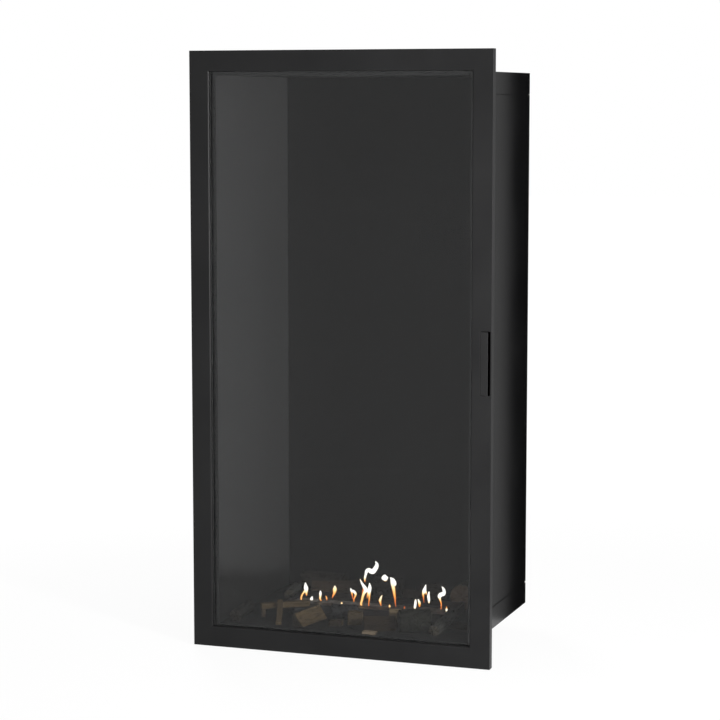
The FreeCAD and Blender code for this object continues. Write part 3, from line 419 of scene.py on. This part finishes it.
def linked(name, data):
    """An object in the scene with a mesh, a lamp or a camera."""
    made = bpy.data.objects.new(name, data)
    bpy.context.collection.objects.link(made)
    return made


def link_mesh(name, mesh, material):
    """A smooth-shaded object at the origin with a mesh and a finish."""
    mesh.polygons.foreach_set("use_smooth", np.ones(len(mesh.polygons), bool))
    mesh.materials.append(material)
    return linked(name, mesh)


def add_piece(name, points, faces, material, attributes=None):
    """A mesh object at the origin, smooth shaded, with a float attribute for each named array."""
    mesh = bpy.data.meshes.new(name)
    mesh.from_pydata(points.tolist(), [], faces)
    for label, values in (attributes or {}).items():
        layer = mesh.attributes.new(label, "FLOAT", "POINT")
        layer.data.foreach_set("value", np.ascontiguousarray(values, np.float32))
    mesh.update()
    return link_mesh(name, mesh, material)


def joined(skins):
    """Several skins as one: points and attributes end to end, face numbers moved on to match."""
    points, faces, attributes, start = [], [], {}, 0
    for skin_points, skin_faces, skin_attributes in skins:
        points.append(skin_points)
        faces += [[corner + start for corner in face] for face in skin_faces]
        for label, values in skin_attributes.items():
            attributes.setdefault(label, []).append(values)
        start += len(skin_points)
    return np.concatenate(points), faces, {key: np.concatenate(v) for key, v in attributes.items()}


def lattice_noise(rng, u, v, cells_u, cells_v):
    """Smooth random heights from -1 to 1: random values at the corners of a lattice over u and v,
    both from 0 to 1, eased between the corners and closing round v."""
    values = rng.uniform(-1, 1, (cells_u + 1, cells_v))
    x, y = u * cells_u, v * cells_v
    i, j = np.clip(np.floor(x).astype(int), 0, cells_u - 1), np.floor(y).astype(int)
    ease_x, ease_y = (part * part * (3 - 2 * part) for part in (x - i, y - j))
    near, far = j % cells_v, (j + 1) % cells_v
    low = values[i, near] * (1 - ease_y) + values[i, far] * ease_y
    high = values[i + 1, near] * (1 - ease_y) + values[i + 1, far] * ease_y
    return low * (1 - ease_x) + high * ease_x


# Logs
def section_outline(kind, width, height):
    """Points round a log's section in mm, evenly spaced from its right side over its top, and the
    outward normals there. A round one is a circle whose lowest millimetre is cut flat; the others are
    straight-sided, and a running mean of a few points rounds their corners."""
    share = np.arange(LOG_COLUMNS) / LOG_COLUMNS
    if kind == "round":
        turn = 2 * np.pi * share
        across = width / 2 * np.cos(turn)
        up = np.maximum(width / 2 * np.sin(turn) + width / 2 - FLAT_CUT, 0)
    else:
        corners = np.array(SECTIONS[kind] + SECTIONS[kind][:1]) * (width, height)
        lengths = np.linalg.norm(np.diff(corners, axis=0), axis=1)
        stops = np.concatenate([[0], np.cumsum(lengths)]) / lengths.sum()
        across, up = (np.interp(share, stops, corners[:, axis]) for axis in (0, 1))
        across, up = (sum(np.roll(line, step) for step in (-1, 0, 1)) / 3 for line in (across, up))
    side = np.roll(across, -1) - np.roll(across, 1)
    rise = np.roll(up, -1) - np.roll(up, 1)
    size = np.hypot(side, rise)
    return across, up, rise / size, -side / size


def log_skin(kind, length, width, height, relief, seed):
    """A log's skin in its own frame in mm, lying along X on Z = 0, with its attributes.
    Each ring is the section pushed along its normals by swell + fine grain - furrows, where a furrow is
    one minus the absolute value of lattice noise; the end rings shrink onto the middle of the cut end."""
    rng = np.random.default_rng(seed)
    across, up, normal_y, normal_z = section_outline(kind, width, height)
    count = int(length / LOG_STATION)
    shares = np.concatenate([CAP_SHARES, np.ones(count), CAP_SHARES[::-1]])
    caps = len(CAP_SHARES)
    along = np.concatenate([np.zeros(caps), np.linspace(0, 1, count), np.ones(caps)])
    u, v = np.meshgrid(along, np.arange(LOG_COLUMNS) / LOG_COLUMNS, indexing="ij")
    swell = lattice_noise(rng, u, v, *SWELL_CELLS)
    furrow = 1 - np.abs(lattice_noise(rng, u, v, relief["along"], relief["around"]))
    furrow *= 1 - np.abs(lattice_noise(rng, u, v, 2 * relief["along"], 2 * relief["around"])) / 2
    fine = lattice_noise(rng, u, v, max(GRAIN_LEAST, count // GRAIN_RINGS), LOG_COLUMNS // 2)
    crevice = np.clip(furrow, 0, 1) ** FURROW_POWER
    push = relief["swell"] * (swell - 1) / 2 + relief["fine"] * fine / 2 - relief["furrow"] * crevice
    ragged = lattice_noise(rng, u, v, *RAGGED_CELLS) * relief["furrow"] * RAGGED_SHARE
    shares = shares[:, None]
    middle = height / 2
    y = shares * (across + push * normal_y)
    z = middle + shares * (up + push * normal_z - middle)
    nearness = np.abs(2 * u - 1) ** END_POWER
    slant = relief["slant"] * rng.uniform(-1, 1, 2)
    x = (u - 0.5) * (length - END_ROOM) + np.sign(u - 0.5) * (ragged + (1 - shares) * END_DOME)
    x += nearness * (slant[0] * y / width + slant[1] * (z - middle) / height)
    y = y + relief["bow"] * rng.choice((-1, 1)) * (np.sin(np.pi * u) - 0.5)
    rings = np.stack([x, y, np.maximum(z, 0)], axis=-1)
    points, faces = closed_skin(rings)
    cap = np.broadcast_to(1 - shares, u.shape)
    values = {ALONG: u * length, AROUND: v, CAP: cap, CREVICE: crevice}
    attributes = {label: np.concatenate([array.ravel(), [array[0].mean(), array[-1].mean()]])
                  for label, array in values.items()}
    attributes[CAP][-2:] = 1
    return points, faces, attributes


def laid(points, turn, lean=0.0):
    """Points in mm with the +X end lifted by the lean, then turned about Z, both in degrees; in metres."""
    cos, sin = math.cos(math.radians(lean)), math.sin(math.radians(lean))
    lift = np.array([[cos, 0, sin], [0, 1, 0], [-sin, 0, cos]])
    cos, sin = math.cos(math.radians(turn)), math.sin(math.radians(turn))
    spin = np.array([[cos, sin, 0], [-sin, cos, 0], [0, 0, 1]])
    return points @ lift @ spin * MM


def way_to_solid(name, kind, length, width, height, turn, lean):
    """The move that brings a plain log, laid in the same way, into the box of its solid."""
    across, up, _, _ = section_outline(kind, width, height)
    ends = [np.stack([np.full(LOG_COLUMNS, end), across, up], axis=-1)
            for end in (-length / 2, length / 2)]
    plain = laid(np.concatenate(ends), turn, lean)
    low, high = (np.array(corner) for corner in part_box(name))
    move = (low + high - plain.min(axis=0) - plain.max(axis=0)) / 2
    move[2] = low[2] - plain[:, 2].min()
    return move


def add_logs(finishes):
    """Each log's skin in place of its solid, and the loose chips as one piece."""
    for name, (kind, length, width, height, turn, lean, finish, seed) in LOGS.items():
        material, relief, slot = finishes[finish]
        points, faces, attributes = log_skin(kind, length, width, height, RELIEF[relief], seed)
        points = laid(points, turn, lean) + way_to_solid(name, kind, length, width, height, turn, lean)
        skin = add_piece(f"{name}_skin", points, faces, material, attributes)
        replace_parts(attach(skin, "casing"), name)
    material, relief, slot = finishes["chip"]
    skins = []
    for kind, length, width, height, turn, (x, y), pale, seed in CHIPS.values():
        points, faces, attributes = log_skin(kind, length, width, height, RELIEF[relief], seed)
        attributes[PALE] = np.full(len(points), pale)
        skins.append((laid(points, turn) + (x * MM, y * MM, HEARTH), faces, attributes))
    points, faces, attributes = joined(skins)
    chips = add_piece("wood_chips_skin", points, faces, material, attributes)
    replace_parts(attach(chips, "casing"), "wood_chips")


def add_wick(material):
    """The block of ceramic wool in the tank, lumpy, as a log's skin is."""
    low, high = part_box("burner_wick")
    size = (high - low) / MM
    points, faces, attributes = log_skin("slab", size.x, size.y, size.z, RELIEF["wool"], WICK_SEED)
    points = laid(points, 0) + ((low.x + high.x) / 2, (low.y + high.y) / 2, low.z)
    wool = add_piece("burner_wick_wool", points, faces, material, attributes)
    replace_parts(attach(wool, "casing"), "burner_wick")


# Knitted ropes
def rounded_loop(low, high, radius, step):
    """Points on X and Z, and the outward normals there, evenly spaced round a rectangle whose corners are
    quarter circles; it runs from the right side over the top."""
    turn = np.radians(90 * np.arange(4)[:, None] + np.linspace(0, 90, CORNER_POINTS))
    normals = np.stack([np.cos(turn), np.sin(turn)], axis=-1)
    left, right, bottom, top = low[0] + radius, high[0] - radius, low[1] + radius, high[1] - radius
    centres = np.array([(right, top), (left, top), (left, bottom), (right, bottom)])
    points = (centres[:, None] + radius * normals).reshape(-1, 2)
    points, normals = (np.vstack([line, line[:1]]) for line in (points, normals.reshape(-1, 2)))
    places = np.concatenate([[0], np.cumsum(np.linalg.norm(np.diff(points, axis=0), axis=1))])
    stops = np.linspace(0, places[-1], round(places[-1] / step), endpoint=False)
    points, normals = (np.stack([np.interp(stops, places, line[:, axis]) for axis in (0, 1)], axis=-1)
                       for line in (points, normals))
    return points, normals, stops / places[-1], places[-1]


def rope_skin(low, high, width, corner, stitch, relief, ribs):
    """A knitted rope in metres between two corners in mm: a flattened oval carried round a rounded loop.
    Stitches are the larger of two sines that cross, one turning each way round the rope as it runs on."""
    half, thick = width / 2, (high[1] - low[1]) / 2
    inner_low, inner_high = (low[0] + half, low[2] + half), (high[0] - half, high[2] - half)
    points, normals, share, length = rounded_loop(inner_low, inner_high, corner - half, ROPE_STEP)
    turn = 2 * np.pi * np.arange(ROPE_COLUMNS) / ROPE_COLUMNS
    run = 2 * np.pi * share[:, None] * round(length / stitch)
    strand = np.maximum(np.abs(np.sin((run + ribs * turn) / 2)), np.abs(np.sin((run - ribs * turn) / 2)))
    circle = np.stack([np.cos(turn), np.sin(turn)])
    oval = np.abs(circle) ** OVAL_POWER * np.sign(circle)
    out = oval[0] * (half - relief * (1 - strand))
    deep = oval[1] * (thick - relief * (1 - strand))
    x = points[:, :1] + normals[:, :1] * out
    z = points[:, 1:] + normals[:, 1:] * out
    rings = np.stack([x, (low[1] + high[1]) / 2 + deep, z], axis=-1)
    faces = grid_faces(len(rings), ROPE_COLUMNS, looped=True).tolist()
    return rings.reshape(-1, 3) * MM, faces, {STRAND: strand.ravel()}


def add_ropes(material):
    """The door's seal and the glass's gasket as knitted ropes."""
    for name, sizes in ROPES.items():
        low, high = (tuple(corner / MM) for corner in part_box(name))
        points, faces, attributes = rope_skin(low, high, **sizes)
        rope = add_piece(f"{name}_rope", points, faces, material, attributes)
        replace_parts(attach(rope, BODY_OF[name]), name)


# Flames
def smooth_run(points, count):
    """A smooth line through the points, evenly by point number: the cubic that passes through each point
    with the slope from the one before to the one after."""
    line = np.array(points)
    line = np.vstack([2 * line[0] - line[1], line, 2 * line[-1] - line[-2]])
    place = np.linspace(0, len(points) - 1, count)
    start = np.minimum(place.astype(int), len(points) - 2)
    part = (place - start)[:, None]
    before, first, second, after = (line[start + step] for step in range(4))
    return first + part / 2 * (second - before + part * (2 * before - 5 * first + 4 * second - after
                                                         + part * (3 * (first - second) + after - before)))


def flame_skin(depth, points, core):
    """One tongue of flame in metres: ovals across a smooth line through its points, as wide as the points
    say, flattened along Y; the core is narrower where it is cooler, and the mantle a margin wider."""
    x, z, half, heat = smooth_run(points, FLAME_RINGS).T[:, :, None]
    heat = np.clip(heat, 0, 1)
    half = np.maximum(half, FLAME_LEAST)
    if core:
        radius = half * (CORE_WIDTH[0] + (CORE_WIDTH[1] - CORE_WIDTH[0]) * heat)
    else:
        radius = half + MANTLE_MARGIN
    run_x, run_z = (np.gradient(line, axis=0) for line in (x, z))
    size = np.hypot(run_x, run_z)
    turn = 2 * np.pi * np.arange(FLAME_COLUMNS) / FLAME_COLUMNS
    rings = np.stack([x + radius * np.cos(turn) * run_z / size, depth + radius * FLAME_DEPTH * np.sin(turn),
                      np.maximum(z - radius * np.cos(turn) * run_x / size, 0)], axis=-1)
    skin, faces = closed_skin(rings)
    heats = np.concatenate([np.repeat(heat.ravel(), FLAME_COLUMNS), heat[[0, -1]].ravel()])
    return skin * MM + (0, 0, WICK_TOP), faces, {HEAT: heats}


def add_flames(core, mantle):
    """Bright cores inside thin mantles, fixed to the casing; they cast no shadow."""
    for name, inner, material in (("flame_cores", True, core), ("flame_mantles", False, mantle)):
        points, faces, attributes = joined([flame_skin(*flame, inner) for flame in FLAMES])
        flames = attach(add_piece(name, points, faces, material, attributes), "casing")
        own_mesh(flames)
        flames.visible_shadow = False


# Node helpers
def feed(tree, target, inputs):
    """Gives a node's inputs, by name or number, the sockets or plain values that they take."""
    for key, value in inputs.items():
        if isinstance(value, bpy.types.NodeSocket):
            tree.links.new(value, target.inputs[key])
        else:
            target.inputs[key].default_value = value


def node(tree, kind, inputs=None, **settings):
    """A node with its settings and inputs."""
    made = tree.nodes.new(kind)
    for key, value in settings.items():
        setattr(made, key, value)
    feed(tree, made, inputs or {})
    return made


def ramp(tree, factor, stops):
    """A colour ramp read by factor; each stop is a place and a colour."""
    made = node(tree, "ShaderNodeValToRGB", {"Fac": factor})
    elements = made.color_ramp.elements
    while len(elements) < len(stops):
        elements.new(0.5)
    for element, (place, colour) in zip(elements, stops):
        element.position = place
        element.color = (*colour, 1)
    return made.outputs["Color"]


def span(tree, value, low, high, start=0.0, end=1.0, **settings):
    """The value stretched from start..end to low..high."""
    ends = {"From Min": start, "From Max": end, "To Min": low, "To Max": high}
    return node(tree, "ShaderNodeMapRange", {"Value": value, **ends}, **settings).outputs["Result"]


def maths(tree, operation, first, second=0):
    """Two values, sockets or numbers, put through one operation."""
    return node(tree, "ShaderNodeMath", {0: first, 1: second}, operation=operation).outputs["Value"]


def mixed(tree, factor, first, second):
    """Two colours, sockets or triples, mixed by a factor."""
    first, second = ((*part, 1) if isinstance(part, tuple) else part for part in (first, second))
    return node(tree, "ShaderNodeMix", {"Factor": factor, 6: first, 7: second}, data_type="RGBA").outputs[2]


def blended(tree, factor, first, second):
    """Two shaders mixed by a factor."""
    return node(tree, "ShaderNodeMixShader", {0: factor, 1: first, 2: second}).outputs["Shader"]


def object_place(tree, scale=(1, 1, 1)):
    """Object coordinates, stretched by a scale on each axis."""
    place = node(tree, "ShaderNodeTexCoord").outputs["Object"]
    return node(tree, "ShaderNodeMapping", {"Vector": place, "Scale": scale}).outputs["Vector"]


def apart(tree, vector):
    """The three parts of a vector."""
    return node(tree, "ShaderNodeSeparateXYZ", {"Vector": vector}).outputs


def noise(tree, vector, scale, detail=3.0, roughness=0.55):
    """A cloud of soft noise."""
    grain = {"Scale": scale, "Detail": detail, "Roughness": roughness}
    return node(tree, "ShaderNodeTexNoise", {"Vector": vector, **grain}).outputs["Fac"]


def attribute(tree, label):
    """The value of a mesh's own attribute."""
    return node(tree, "ShaderNodeAttribute", attribute_name=label).outputs["Fac"]


def new_group(name, inputs, outputs):
    """A shader node group with named value inputs and outputs; gives it, its inputs' sockets inside it and
    its output node."""
    group = bpy.data.node_groups.new(name, "ShaderNodeTree")
    for label, default in inputs.items():
        socket = group.interface.new_socket(label, in_out="INPUT", socket_type="NodeSocketFloat")
        socket.default_value = default
    for label in outputs:
        group.interface.new_socket(label, in_out="OUTPUT", socket_type="NodeSocketFloat")
    return group, node(group, "NodeGroupInput").outputs, node(group, "NodeGroupOutput")


def placed(tree, group, **values):
    """A node group with the values of its inputs; gives its outputs."""
    return node(tree, "ShaderNodeGroup", values, node_tree=group).outputs


def bump(tree, shader, height, distance, strength):
    """Relief in the shader's normal."""
    made = node(tree, "ShaderNodeBump", {"Height": height, "Distance": distance, "Strength": strength})
    feed(tree, shader, {"Normal": made.outputs["Normal"]})


def new_material(name, **constants):
    """A material with its Principled shader's constant sockets set."""
    material = bpy.data.materials.new(name)
    material.use_nodes = True
    tree = material.node_tree
    shader = tree.nodes["Principled BSDF"]
    feed(tree, shader, {key.replace("_", " "): value for key, value in constants.items()})
    return material, tree, shader


# Effects that several finishes share
def powder_group():
    """Powder coat: a fine pebbled height, and broad soft patches."""
    group, ins, outs = new_group("powder_coat", {"Grain": 1400.0, "Patch": 7.0}, ("Height", "Patches"))
    place = object_place(group)
    patches = span(group, noise(group, place, ins["Patch"], 4.0, 0.5), 0, 1, *CLOUD_SPAN)
    feed(group, outs, {"Height": noise(group, place, ins["Grain"], 1.5, 0.5), "Patches": patches})
    return group


def brushed_group():
    """Brushed metal: streaks drawn out along X, as a height and a tone."""
    group, ins, outs = new_group("brushed_lines", {"Lines": 900.0}, ("Height", "Tone"))
    streaks = noise(group, object_place(group, STREAK_SCALE), ins["Lines"], 2.0, 0.5)
    feed(group, outs, {"Height": streaks, "Tone": span(group, streaks, 0, 1, *CLOUD_SPAN)})
    return group


def fibre_group():
    """Pressed mineral fibre: tangled fine cells, as a height and a tone."""
    group, ins, outs = new_group("fibre_felt", {"Fibres": 500.0}, ("Height", "Tone"))
    place = object_place(group, FIBRE_SCALE)
    cells = node(group, "ShaderNodeTexVoronoi", {"Vector": place, "Scale": ins["Fibres"]},
                 feature="DISTANCE_TO_EDGE")
    cloud = noise(group, place, FELT_CLOUD, 5.0)
    feed(group, outs, {"Height": maths(group, "ADD", cells.outputs["Distance"], cloud),
                       "Tone": span(group, cloud, 0, 1, *CLOUD_SPAN)})
    return group


def painted_shadow_group():
    """Painted shadow: a mask that fades out upwards between two heights, which fall by lean for each metre
    towards the back, broken up by a cloud."""
    group, ins, outs = new_group("painted_shadow", {"Low": 0.0, "High": 0.2, "Lean": 0.0}, ("Mask",))
    place = object_place(group)
    parts = apart(group, place)
    cloud = span(group, noise(group, place, PAINTED_SHADOW_SCALE, 5.0), -PAINTED_SHADOW_CLOUD, PAINTED_SHADOW_CLOUD, *CLOUD_SPAN)
    sloped = maths(group, "MULTIPLY", ins["Lean"], parts["Y"])
    height = maths(group, "ADD", maths(group, "ADD", parts["Z"], sloped), cloud)
    mask = span(group, height, 1, 0, ins["Low"], ins["High"], interpolation_type="SMOOTHSTEP")
    feed(group, outs, {"Mask": mask})
    return group


def wood_group():
    """Log skin from the log's own attributes: fibres along it, rings on its cut ends, how deep a point
    lies in a furrow, and the mask of the cut ends."""
    group, ins, outs = new_group("log_skin", {"Fibres": 60.0}, ("Fibre", "Rings", "Furrow", "Cut"))
    along, around, cap, crevice = (attribute(group, label) for label in (ALONG, AROUND, CAP, CREVICE))
    turn = maths(group, "MULTIPLY", around, 2 * math.pi)
    drawn = node(group, "ShaderNodeCombineXYZ", {"X": maths(group, "MULTIPLY", along, FIBRE_STRETCH),
                                                 "Y": maths(group, "SINE", turn),
                                                 "Z": maths(group, "COSINE", turn)})
    cloud = noise(group, drawn.outputs["Vector"], ins["Fibres"], 6.0, 0.65)
    wobbly = maths(group, "ADD", cap, maths(group, "MULTIPLY", cloud, RING_WOBBLE))
    rings = maths(group, "SINE", maths(group, "MULTIPLY", wobbly, RING_COUNT))
    feed(group, outs, {"Fibre": span(group, cloud, 0, 1, *GRAIN_SPAN),
                       "Rings": span(group, rings, 0, 1, -1, 1),
                       "Furrow": crevice,
                       "Cut": span(group, cap, 0, 1, *CUT_SPAN)})
    return group


# Finishes
def painted(name, powder, painted_shadow):
    """Powder-coated steel: patches between two shades, pebbled, and one of them darkened low down by
    painted shadow.
    """
    dark, light, rough, level, grain = PAINTS[name]
    material, tree, shader = new_material(name, Specular_IOR_Level=level)
    coat = placed(tree, powder)
    colour = mixed(tree, coat["Patches"], dark, light)
    # the lining gets a painted shadow, low down and reaching higher towards the front
    if name == SHADOW_PAINTED:
        colour = mixed(tree, placed(tree, painted_shadow, **PAINTED_SHADOW_FADE)["Mask"], colour, PAINTED_SHADOW_SHADE)
    feed(tree, shader, {"Base Color": colour, "Roughness": span(tree, coat["Patches"], *rough)})
    bump(tree, shader, coat["Height"], PEBBLE_HEIGHT, grain)
    return material


def metal(name, brushed):
    """Brushed metal between two shades."""
    dark, light, rough, lines = METALS[name]
    material, tree, shader = new_material(name, Metallic=1.0)
    streak = placed(tree, brushed, Lines=lines)
    feed(tree, shader, {"Base Color": mixed(tree, streak["Tone"], dark, light),
                        "Roughness": span(tree, streak["Tone"], *rough)})
    bump(tree, shader, streak["Height"], **BRUSHED)
    return material


def heated_metal(name, brushed):
    """Steel blackened by the flames, with straw and blue clouds where the heat has coloured it."""
    material, tree, shader = new_material(name, Metallic=1.0)
    streak = placed(tree, brushed, Lines=HEATED_LINES)
    cloud = span(tree, noise(tree, object_place(tree), HEATED_CLOUD, 4.0), 0, 1, *CLOUD_SPAN)
    share = span(tree, streak["Tone"], 0, HEATED_SHARE)
    feed(tree, shader, {"Base Color": mixed(tree, share, ramp(tree, cloud, HEATED_TINTS), HEATED_STREAK),
                        "Roughness": span(tree, streak["Tone"], *HEATED_ROUGH)})
    bump(tree, shader, streak["Height"], **BRUSHED)
    return material


def fibrous(name, fibres):
    """Mineral fibre between two shades; a knitted one is darker between its strands."""
    dark, light, scale = FELTS[name]
    material, tree, shader = new_material(name, **FELT_SURFACE)
    felt = placed(tree, fibres, Fibres=scale)
    tone = felt["Tone"]
    if name == KNITTED:
        tone = maths(tree, "MULTIPLY", tone, attribute(tree, STRAND))
    feed(tree, shader, {"Base Color": mixed(tree, tone, dark, light)})
    bump(tree, shader, felt["Height"], **FELT)
    return material


def glazing(name):
    """Clear ceramic glass with faint wiping smears; light that isn't seen or mirrored goes straight
    through."""
    material, tree, shader = new_material(name, Transmission_Weight=1.0, IOR=PANE_IOR)
    smear = noise(tree, object_place(tree, WIPE_SCALE), SMEAR_SCALE, 5.0)
    feed(tree, shader, {"Roughness": span(tree, smear, 0, SMEAR_ROUGH, *SMEAR_SPAN),
                        "Base Color": ramp(tree, noise(tree, object_place(tree), PANE_CLOUD), PANE_TINTS)})
    path = node(tree, "ShaderNodeLightPath").outputs
    unseen = maths(tree, "MAXIMUM", path["Is Shadow Ray"], path["Is Diffuse Ray"])
    clear = node(tree, "ShaderNodeBsdfTransparent").outputs["BSDF"]
    feed(tree, tree.nodes["Material Output"],
         {"Surface": blended(tree, unseen, shader.outputs["BSDF"], clear)})
    return material


def log_finish(name, wood, fibres, dark, light, furrow, cut, cream=None):
    """A log's skin: fibres between two shades, darker in its furrows, ringed on its cut ends; with a
    cream shade, the paler it is said to be the nearer to that."""
    material, tree, shader = new_material(name, **WOOD_SURFACE)
    skin = placed(tree, wood, Fibres=fibres)
    blotch = span(tree, noise(tree, object_place(tree), BLOTCH_SCALE, 4.0), 0, 1, *GRAIN_SPAN)
    tone = maths(tree, "MULTIPLY", skin["Fibre"], span(tree, blotch, BLOTCH_LEAST, 1))
    colour = mixed(tree, tone, dark, light)
    if cream:
        colour = mixed(tree, attribute(tree, PALE), colour, cream)
    colour = mixed(tree, skin["Furrow"], colour, furrow)
    ringed = mixed(tree, skin["Rings"], cut, tuple(RING_SHADE * part for part in cut))
    feed(tree, shader, {"Base Color": mixed(tree, skin["Cut"], colour, ringed)})
    bump(tree, shader, maths(tree, "ADD", skin["Fibre"], blotch), **WOOD)
    return material


def flame_finish(name):
    """Glowing gas whose colour follows its heat, seen through where alpha is low."""
    strength, alpha, stops = FLAME_LOOKS[name]
    material, tree, shader = new_material(name, Emission_Strength=strength, **GLOWING)
    heat = attribute(tree, HEAT)
    feed(tree, shader, {"Emission Color": ramp(tree, heat, stops), "Alpha": span(tree, heat, *alpha)})
    return material


def eased(name, width, fold, material):
    """A merged copy of a CAD node, its flat faces made whole and its sharp edges rounded off; with a fold,
    the sheet's bend at the window is rounded by that much outside, and a sheet less inside."""
    work = bmesh.new()
    work.from_mesh(frame["nodes"][name].data)
    bmesh.ops.remove_doubles(work, verts=work.verts, dist=MERGE)
    bmesh.ops.dissolve_limit(work, angle_limit=FLAT_ANGLE, verts=work.verts, edges=work.edges)
    front = min(vert.co.y for vert in work.verts) + MERGE
    weight = work.edges.layers.float.new("bevel_weight_edge")
    for edge in work.edges:
        if not edge.is_manifold:
            edge.smooth = False
        elif edge.calc_face_angle() > SHARP_ANGLE:
            depth = max(vert.co.y if abs(vert.co.x) < WINDOW_HALF else cad_high.y for vert in edge.verts)
            bent = fold and depth < front + DOOR_SHEET
            radius = (fold if depth < front else fold - DOOR_SHEET) if bent else width
            edge[weight] = radius / max(fold, width)
    mesh = bpy.data.meshes.new(f"{name}_eased")
    work.to_mesh(mesh)
    work.free()
    made = link_mesh(f"{name}_eased", mesh, material)
    bevel = made.modifiers.new("edge", "BEVEL")
    bevel.width = max(fold, width)
    bevel.segments = EDGE_SEGMENTS
    bevel.limit_method = "WEIGHT"
    bevel.use_clamp_overlap = False
    bevel.face_strength_mode = "FSTR_ALL"
    flat = made.modifiers.new("flat_faces", "WEIGHTED_NORMAL")
    flat.use_face_influence = True
    flat.weight = FACE_WEIGHT
    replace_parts(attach(made, BODY_OF[name]), name)


def add_finishes():
    """Builds the finishes and gives one to every CAD node and new piece."""
    powder, brushed, fibres, painted_shadow, wood = (powder_group(), brushed_group(), fibre_group(), painted_shadow_group(),
                                           wood_group())
    finishes = {name: painted(name, powder, painted_shadow) for name in PAINTS}
    finishes |= {name: metal(name, brushed) for name in METALS}
    finishes |= {name: fibrous(name, fibres) for name in FELTS}
    finishes["heated_steel"] = heated_metal("heated_steel", brushed)
    finishes["ceramic_glass"] = glazing("ceramic_glass")
    for width, fold, finish, slot, names in EASED:
        for name in names:
            eased(name, width, fold, finishes[finish])
    for finish, names in DRESSED.items():
        for name in names:
            frame["nodes"][name].material_slots[0].material = finishes[finish]
    add_wick(finishes["ceramic_wool"])
    add_ropes(finishes["seal_rope"])
    add_logs({name: (log_finish(name, wood, *shades), relief, slot)
              for name, (relief, slot, *shades) in LOG_FINISHES.items()})
    add_flames(*(flame_finish(name) for name in FLAME_LOOKS))


# Stage
def seen_as_white(tree, plain, white):
    """Shader mixed so that a ray from the camera, a mirror or glass meets the white one, and other light
    the plain one."""
    path = node(tree, "ShaderNodeLightPath").outputs
    mirrored = maths(tree, "MAXIMUM", path["Is Glossy Ray"], path["Is Transmission Ray"])
    return blended(tree, maths(tree, "MAXIMUM", path["Is Camera Ray"], mirrored), plain, white)


def add_world():
    """White to look at, and a plain fill of light on the object."""
    world = bpy.data.worlds.new("studio")
    bpy.context.scene.world = world
    world.use_nodes = True
    tree = world.node_tree
    fill = tree.nodes["Background"]
    feed(tree, fill, {"Color": WHITE, "Strength": WORLD_FILL})
    white = node(tree, "ShaderNodeBackground", {"Color": WHITE, "Strength": 1.0})
    feed(tree, tree.nodes["World Output"],
         {"Surface": seen_as_white(tree, fill.outputs["Background"], white.outputs["Background"])})


def add_floor():
    """A flat pale floor just under the door, which keeps a faint shadow near the object and fades to
    white."""
    half = FLOOR_SIZE / 2
    corners = np.array([(-half, -half), (half, -half), (half, half), (-half, half)])
    corners = np.insert(corners, 2, cad_low.z - FLOOR_DROP, axis=1)
    grey = (FLOOR_GREY, FLOOR_GREY, FLOOR_GREY, 1)
    material, tree, shader = new_material("pale_floor", Base_Color=grey, Roughness=FLOOR_ROUGH)
    glow = node(tree, "ShaderNodeEmission", {"Color": WHITE, "Strength": FLOOR_GLOW})
    reach = node(tree, "ShaderNodeVectorMath", {0: object_place(tree)}, operation="LENGTH")
    whiteness = span(tree, reach.outputs["Value"], FLOOR_WHITE, 1.0, *FLOOR_FADE)
    near_white = blended(tree, whiteness, shader.outputs["BSDF"], glow.outputs["Emission"])
    feed(tree, tree.nodes["Material Output"],
         {"Surface": seen_as_white(tree, shader.outputs["BSDF"], near_white)})
    add_piece("floor", corners, [[0, 1, 2, 3]], material)


def add_flags():
    """Two cards beside the casing, in line with its back, that only reflections show: black near the
    casing and grey further out, so that each of its sides darkens towards the back."""
    material, tree, shader = new_material("flag_card", Emission_Color=WHITE, **GLOWING)
    low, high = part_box("back_panel")
    reach = maths(tree, "ABSOLUTE", apart(tree, object_place(tree))["X"])
    fade = (high.x + distance for distance in FLAG_FADE)
    feed(tree, shader, {"Emission Strength": span(tree, reach, 0, FLAG_GREY, *fade)})
    for name, inner, outer in (("left_flag", low.x, low.x - FLAG_REACH),
                               ("right_flag", high.x, high.x + FLAG_REACH)):
        corners = np.array([(inner, high.y, cad_low.z), (outer, high.y, cad_low.z),
                            (outer, high.y, FLAG_TOP), (inner, high.y, FLAG_TOP)])
        card = add_piece(name, corners, [[0, 1, 2, 3]], material)
        card.visible_camera = False
        card.visible_diffuse = False
        card.visible_transmission = False
        card.visible_shadow = False


def add_lamp(name, place, target, size, power):
    """A square soft lamp at a place, turned to shine on a target."""
    lamp = bpy.data.lights.new(name, "AREA")
    lamp.size = size
    lamp.energy = power
    made = linked(name, lamp)
    made.location = place
    made.rotation_euler = (Vector(place) - Vector(target)).to_track_quat("Z", "Y").to_euler()


def add_camera():
    """The camera that took the photograph, upright and without shift."""
    lens = bpy.data.cameras.new("camera")
    lens.lens = CAMERA_LENS
    lens.sensor_width = SENSOR_WIDTH
    lens.clip_end = CLIP_END
    camera = linked("camera", lens)
    camera.location = CAMERA_PLACE
    camera.rotation_euler = (math.radians(90 + CAMERA_TILT), 0, math.radians(-CAMERA_HEADING))
    bpy.context.scene.camera = camera


bpy.context.scene.view_settings.view_transform = "Standard"
add_finishes()
add_world()
add_floor()
add_flags()
for lamp_name, lamp_sizes in LAMPS.items():
    add_lamp(lamp_name, *lamp_sizes)
add_camera()
